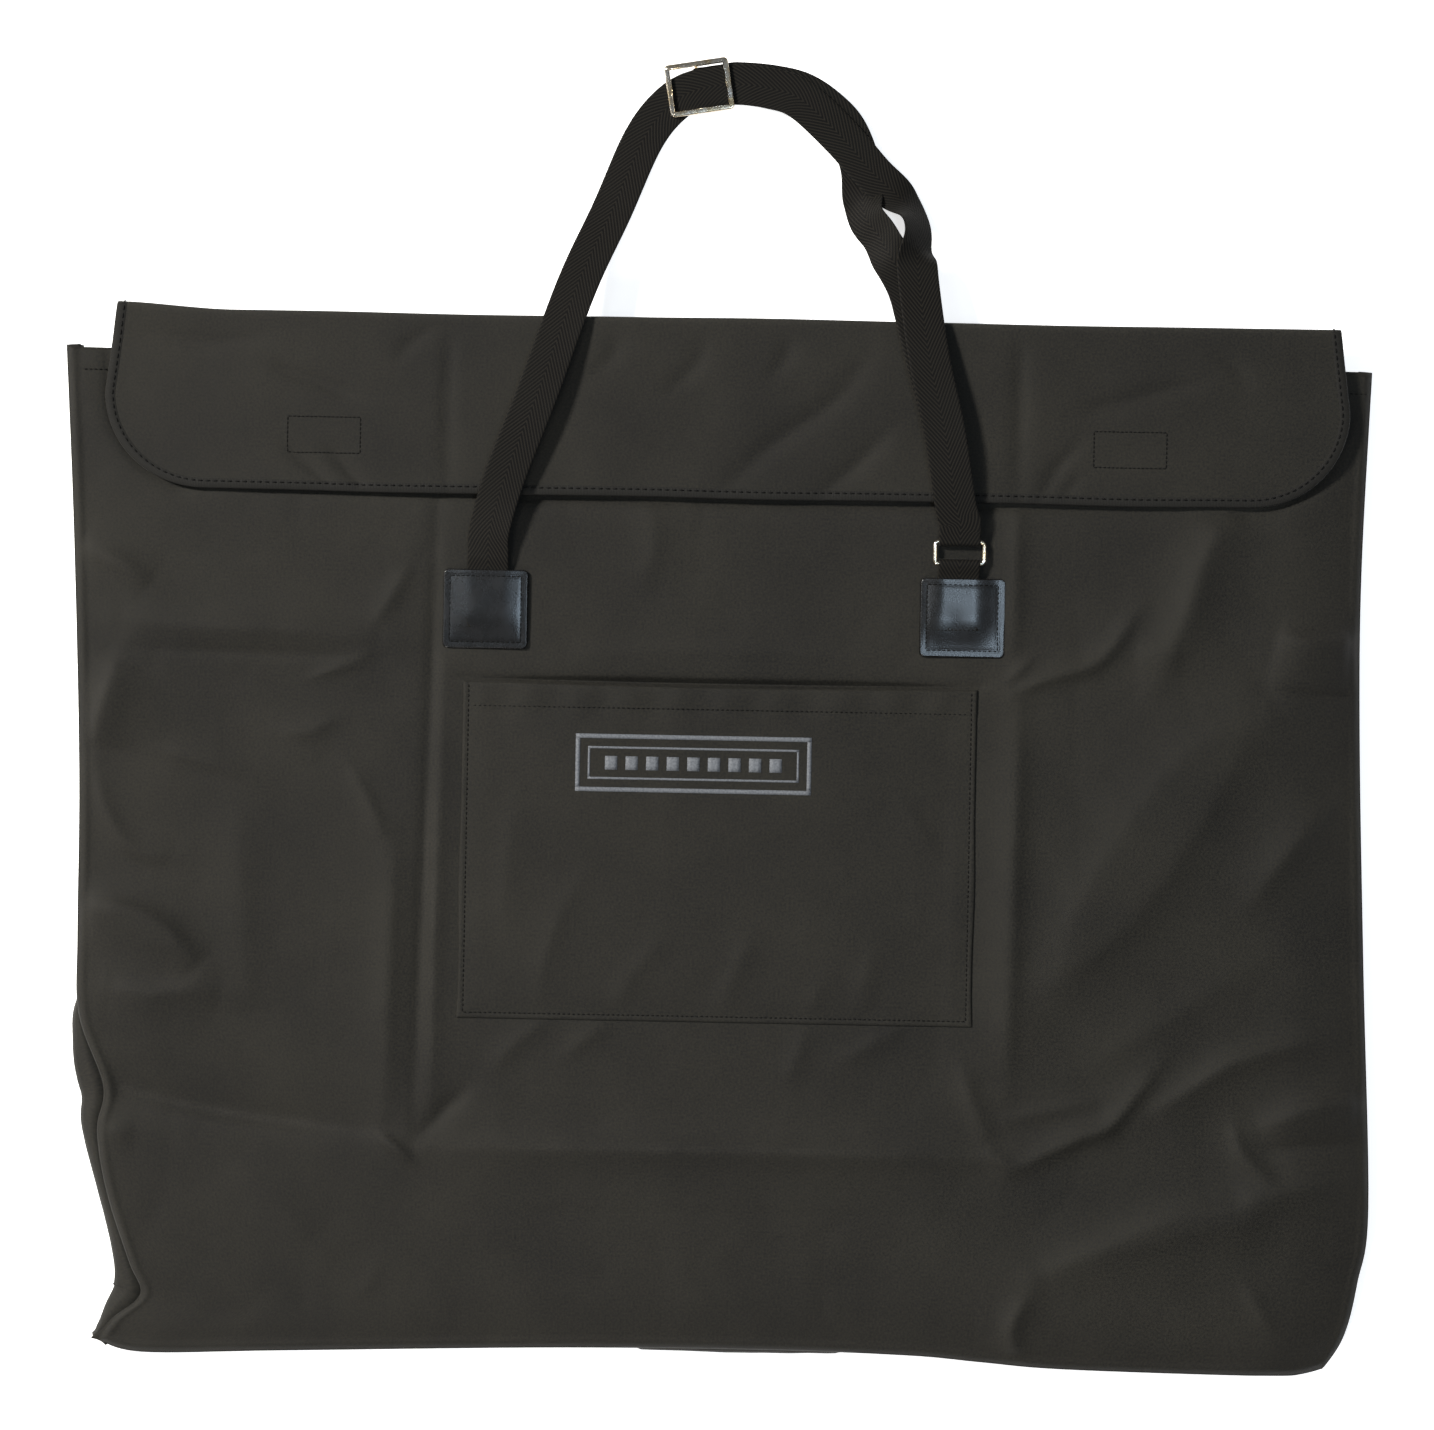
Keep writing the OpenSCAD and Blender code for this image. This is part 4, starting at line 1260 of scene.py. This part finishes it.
# Where the two runs part and turn on edge, so that an eye opens between them
EYE_Y, EYE_TILT_MAIN, EYE_TILT_RETURN = 466.0, 0.82, 0.62
AT_RING = [(RING_X, RING_TOP_Y + beyond) for beyond in (14, 7, 0)]
MAIN_ROUTE = [
    (SEWN_X, 168), (SEWN_X, 195), (SEWN_X, PIVOT_Y), (-171.5, 240), (-161, 278), (-138, 340), (-111, 420),
    (-88, 474), (-66, 528), (-46, 555), (-25.4, 566.5), (0, 570.6), (27, 568), (50, 560), (80, 533),
    (104, 506), (123, 488.5), (133, 477), (137, 464), (136, 445), (138.5, 417), (146, 367.5), (158, 315.5),
    (167, 264), *AT_RING,
]
RETURN_ROUTE = [
    *[tuple(SLIDER_MID[:2] + SLIDER_AXIS[:2] * beyond) for beyond in (2, 9, 15, 22, 29)],
    (27, 571), (50, 566), (69, 554), (84, 538), (94, 512), (96, 488), (99, 473), (108.5, 460), (116, 446),
    (129, 422), (136, 398), (144, 367.5), (158, 315.5), (167, 264), *AT_RING,
]


def slack(y, start_y, start_z, peak_z):
    """Height of the slack strap: up from its anchor to its peak, and down beyond the flap."""
    risen = np.clip((y - start_y) / (PEAK_Y - start_y), 0, 1)
    rising = start_z + (peak_z - start_z) * np.sin(math.pi / 2 * risen)
    share = np.clip((y - PEAK_Y) / (LOW_Y - PEAK_Y), 0, 1)
    falling = MAIN_LOW_Z + (peak_z - MAIN_LOW_Z) * (1 + np.cos(math.pi * share)) / 2
    return np.where(y < PEAK_Y, rising, falling)


def main_height(x, y):
    """Height of the main run: left of the middle it starts under its patch, and right of it on the ring."""
    under_patch = SEWN_Z + (PIVOT_Z - SEWN_Z) * smooth_step(PATCH_TOP_Y - 2, PIVOT_Y, y)
    left = np.where(y < PIVOT_Y, under_patch, slack(y, PIVOT_Y, PIVOT_Z, LEFT_PEAK_Z))
    return np.where(x < 0, left, slack(y, RING_TOP_Y, PIVOT_Z + TURN_RADIUS, RIGHT_PEAK_Z))


def return_height(x, y):
    """Height of the return run, which lies under the main run's right half and parts from it at the ring."""
    ring_gap = 2 * TURN_RADIUS
    share = smooth_step(RING_TOP_Y, RING_TOP_Y + 25, y)
    return main_height(1.0, y) - (ring_gap + (LAYER_PITCH - ring_gap) * share)


def draped(route, height, step=0.8):
    """A strap's centre line and its across direction, laid on a height profile."""
    plan, along = resample(curve_through(route, 12), step)
    ahead = unit(np.gradient(plan, axis=0))
    side = WEBBING_W / 2 * np.column_stack([ahead[:, 1], -ahead[:, 0]])
    near, far = (np.column_stack([p, height(plan[:, 0], p[:, 1])]) for p in (plan - side, plan + side))
    return (near + far) / 2, unit(far - near), along


def webbing_section():
    """Round the webbing's section: places across, heights, and which face each is on, or 0 on an edge."""
    half_w, half_t = WEBBING_W / 2, WEBBING_T / 2
    face = np.linspace(-half_w + 0.7, half_w - 0.7, RIB_COLUMNS)
    edge = np.array([half_w - 0.15, half_w, half_w - 0.15])
    flat_face, round_edge = np.full(RIB_COLUMNS, half_t), np.array([0.5, 0, -0.5])
    across = np.concatenate([face, edge, face[::-1], -edge])
    height = np.concatenate([flat_face, round_edge, -flat_face, -round_edge])
    return across, height, np.repeat([1, 0, -1, 0], [RIB_COLUMNS, 3, RIB_COLUMNS, 3])


def ribbon(name, nodes, centre, across, along, tilt=0.0, body=None):
    """Webbing along a line: a closed section with herringbone ribs on both faces and thick selvedges."""
    normal = unit(np.cross(across, unit(np.gradient(centre, axis=0))))
    c, s = (np.broadcast_to(turned, len(centre))[:, None] for turned in (np.cos(tilt), np.sin(tilt)))
    across, normal = across * c + normal * s, normal * c - across * s
    t, h, face = webbing_section()
    phase = (along[:, None] * RIB_SINE + np.abs(t) * RIB_COSINE) * 2 * math.pi / RIB_PITCH
    height = h + RIB_DEPTH * np.sin(phase) * face
    points = centre[:, None] + across[:, None] * t[None, :, None] + normal[:, None] * height[..., None]
    faces = flipped(tube_faces(len(centre), len(t)))
    piece = build(name, points, faces, WEBBING, np.dstack(np.meshgrid(t, along)))
    fit(piece, "webbing", *nodes, body=body)
    return piece


def make_main_run():
    """The main run, from its sewn end to the bend round the ring's upper bar."""
    centre, across, along = draped(MAIN_ROUTE, main_height)
    y, left = centre[:, 1], centre[:, 0] < -60
    # the lowest stretch on the left is turned a little on edge, up to its kink
    tilt = np.where(left, 0.18 * bell(y, 240, 26), 0)
    # and the rest wavers a little, but not where the slider runs
    wavers = smooth_step(230, 300, y) * (1 - smooth_step(500, 545, y))
    tilt += 0.06 * soft_noise(y, along, 70, 71) * wavers
    tilt += np.where(left, 0, EYE_TILT_MAIN * bell(y, EYE_Y, 22, 4))
    turn = np.linspace(0, math.pi, 16)[1:]
    arc = np.column_stack([
        np.full(len(turn), RING_X),
        RING_TOP_Y - TURN_RADIUS * np.sin(turn),
        PIVOT_Z + TURN_RADIUS * np.cos(turn),
    ])
    centre = np.vstack([centre, arc])
    across = np.vstack([across, np.tile(across[-1], (len(turn), 1))])
    along = np.concatenate([along, along[-1] + turn * TURN_RADIUS])
    tilt = np.concatenate([tilt, np.zeros(len(turn))])
    nodes = ["strap_sewn_end", "strap_main_run", "strap_ring_turn"]
    main = ribbon("strap_main_webbing", nodes, centre, across, along, tilt)
    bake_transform(main)


def make_return_run():
    """The run that comes back from the ring, under the main run, and ends at the slider."""
    centre, across, along = draped(RETURN_ROUTE, return_height)
    tilt = -EYE_TILT_RETURN * bell(centre[:, 1], EYE_Y, 22, 4)
    back = ribbon("strap_return_webbing", ["strap_return_run"], centre, across, along, tilt)
    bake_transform(back)


def make_end_loop():
    """The end of the strap, sewn round the slider's rod."""
    turn = np.linspace(math.pi / 2, 3 * math.pi / 2, 14)
    upper, lower = np.linspace(15, 0.5, 18), np.linspace(0.8, 22, 26)
    reach = np.concatenate([upper, LOOP_RADIUS * np.cos(turn), lower])
    lift = np.concatenate([np.full(18, LOOP_RADIUS), LOOP_RADIUS * np.sin(turn), np.full(26, -LOOP_RADIUS)])
    line, walked = resample(np.column_stack([reach, lift]), 0.8)
    centre = np.column_stack([SLIDER_MID[:2] + line[:, :1] * SLIDER_AXIS[:2], ROD_Z + line[:, 1]])
    across = np.tile([-SLIDER_AXIS[1], SLIDER_AXIS[0], 0], (len(centre), 1))
    ribbon("strap_end_webbing", ["strap_end_loop"], centre, across, walked, body="slider")


def make_ring_tab():
    """The tab that holds the ring, from under the right patch round the lower bar and back."""
    turn = np.linspace(-math.pi / 2, math.pi / 2, 14)
    radius = RING_WIRE / 2 + 0.45 + WEBBING_T / 2
    sewn_y = 172
    up = np.linspace(sewn_y, PIVOT_Y - 1, 40)
    ease = smooth_step(PATCH_TOP_Y - 2, PIVOT_Y, up)
    low = (FRONT_Z + 0.9) * (1 - ease) + (PIVOT_Z - radius) * ease
    high = (FRONT_Z + 2.5) * (1 - ease) + (PIVOT_Z + radius) * ease
    y = np.concatenate([up, PIVOT_Y + radius * np.cos(turn), up[::-1]])
    z = np.concatenate([low, PIVOT_Z + radius * np.sin(turn), high[::-1]])
    line, walked = resample(np.column_stack([y, z]), 0.8)
    centre = np.column_stack([np.full(len(line), RING_X), line])
    across = np.tile([1.0, 0, 0], (len(centre), 1))
    ribbon("ring_tab_webbing", ["ring_tab"], centre, across, walked, body="case")


def make_strap():
    make_main_run()
    make_return_run()
    make_end_loop()
    make_ring_tab()


# ---- Metal ----

# The slider's frame: its width, height, bar and the bar's bevel
SLIDER_W, SLIDER_H, SLIDER_BAR, SLIDER_BEVEL = 47.5, 38.7, 4.0, 0.9


def rounded_path(half_w, half_h, radius, per_corner=8):
    """A closed level path round a rectangle with round corners."""
    points = []
    for k, (sx, sy) in enumerate(((1, 1), (-1, 1), (-1, -1), (1, -1))):
        for a in np.linspace(0, math.pi / 2, per_corner) + k * math.pi / 2:
            across = sx * (half_w - radius) + radius * math.cos(a)
            points.append((across, sy * (half_h - radius) + radius * math.sin(a)))
    return np.array(points)


def swept_ring(name, path, section, place):
    """A closed metal ring: a section, as (outward, up) points, carried round a level path."""
    ahead = np.roll(path, -1, axis=0) - np.roll(path, 1, axis=0)
    out = unit(np.column_stack([ahead[:, 1], -ahead[:, 0]]))
    plan = path[:, None] + out[:, None] * section[None, :, :1]
    points = np.dstack([plan[..., 0], plan[..., 1], np.tile(section[:, 1], (len(path), 1))])
    faces = flipped(grid_faces(len(path), len(section), closed=True, looped=True))
    return build(name, place(points.reshape(-1, 3)), faces, NICKEL)


def make_ring():
    turn = np.arange(16) / 16 * 2 * math.pi
    wire = RING_WIRE / 2
    section = wire * np.column_stack([np.cos(turn), np.sin(turn)])
    path = rounded_path((RING_HIGH[0] - RING_LOW[0]) / 2 - wire, (RING_TOP_Y - PIVOT_Y) / 2, 2.6)
    middle = np.array([RING_X, (RING_TOP_Y + PIVOT_Y) / 2, PIVOT_Z])
    fit(swept_ring("ring_wire", path, section, lambda p: p + middle), "nickel", "strap_ring", body="handle")


def make_slider():
    section = rounded_path(SLIDER_BAR / 2, SLIDER_HALF[2], SLIDER_BEVEL, 5)
    path = rounded_path((SLIDER_W - SLIDER_BAR) / 2, (SLIDER_H - SLIDER_BAR) / 2, 1.2)
    c, s = SLIDER_AXIS[0], SLIDER_AXIS[1]
    turn_by = np.array([[c, -s, 0], [s, c, 0], [0, 0, 1]])
    piece = swept_ring("slider_frame_metal", path, section, lambda p: p @ turn_by.T + SLIDER_MID)
    fit(piece, "nickel", "slider_frame", body="slider")
    rod = frame["nodes"]["slider_centre_bar"]
    rod.data.materials.clear()
    rod.data.materials.append(NICKEL)


# ---- Stage ----

DAYLIGHT, SKYLIGHT = (1.0, 0.965, 0.905), (0.66, 0.83, 1.0)
# Each lamp: its name, place, target, size in metres, power in watts and colour
LAMPS = [
    ("key_softbox", (-4.4, 2.45, 4.2), (-0.02, 0.05, 0), 1.1, 690, DAYLIGHT),
    ("low_left_fill", (-1.2, -2.0, 1.9), (-0.15, -0.3, 0), 0.8, 36, DAYLIGHT),
    ("right_lamp", (1.7, 0.2, 1.0), (0.15, 0.2, 0), 0.35, 3, (0.96, 0.98, 1.0)),
    ("right_reflector", (0.66, 0.26, 3.1), (0.17, 0.18, 0), 0.7, 19, SKYLIGHT),
    ("left_reflector", (-1.1, 0.45, 2.8), (-0.17, 0.18, 0), 0.4, 3, (0.72, 0.86, 1.0)),
]


def make_floor():
    """A pale floor that gives off a little light, so that it stays white under the case."""
    half = 12.0
    floor = bpy.data.meshes.new("floor")
    corners = [(-half, -half, 0), (half, -half, 0), (half, half, 0), (-half, half, 0)]
    floor.from_pydata(corners, [], [(0, 1, 2, 3)])
    floor.materials.append(Paint("pale_floor").finish(
        Base_Color=(0.92, 0.92, 0.92, 1),
        Roughness=0.9,
        Specular_IOR_Level=0.1,
        Emission_Color=(1, 1, 1, 1),
        Emission_Strength=0.7,
    ))
    piece = bpy.data.objects.new("floor", floor)
    bpy.context.scene.collection.objects.link(piece)


def make_lamp(name, place, target, size_m, power, colour):
    light = bpy.data.lights.new(name, "AREA")
    light.shape = "DISK"
    light.size = size_m
    light.energy = power
    light.color = colour
    holder = bpy.data.objects.new(name, light)
    holder.location = place
    holder.rotation_euler = (Vector(target) - Vector(place)).to_track_quat("-Z", "Y").to_euler()
    bpy.context.scene.collection.objects.link(holder)


def make_world():
    world = bpy.data.worlds.new("studio")
    world.use_nodes = True
    background = world.node_tree.nodes["Background"]
    background.inputs["Color"].default_value = (1, 1, 1, 1)
    background.inputs["Strength"].default_value = 0.14
    bpy.context.scene.world = world
    bpy.context.scene.view_settings.view_transform = "Standard"


def make_camera():
    """Straight above, turned as the bag lies in the picture."""
    camera = bpy.data.cameras.new("camera")
    camera.sensor_width = 36
    camera.lens = 102.3
    holder = bpy.data.objects.new("camera", camera)
    holder.location = (-0.0035, 0.1073, 3.0)
    holder.rotation_euler = (0, 0, math.radians(1.1))
    bpy.context.scene.collection.objects.link(holder)
    bpy.context.scene.camera = holder


make_camera()
make_floor()
for lamp in LAMPS:
    make_lamp(*lamp)
make_world()
make_case()
make_pocket()
make_pocket_stitches()
make_print()
make_loop_tapes()
make_hem_stitches()
make_flap_cloth()
make_flap_binding()
make_flap_stitches()
make_hook_tapes()
make_patches()
make_strap()
make_ring()
make_slider()

bpy.context.view_layer.update()
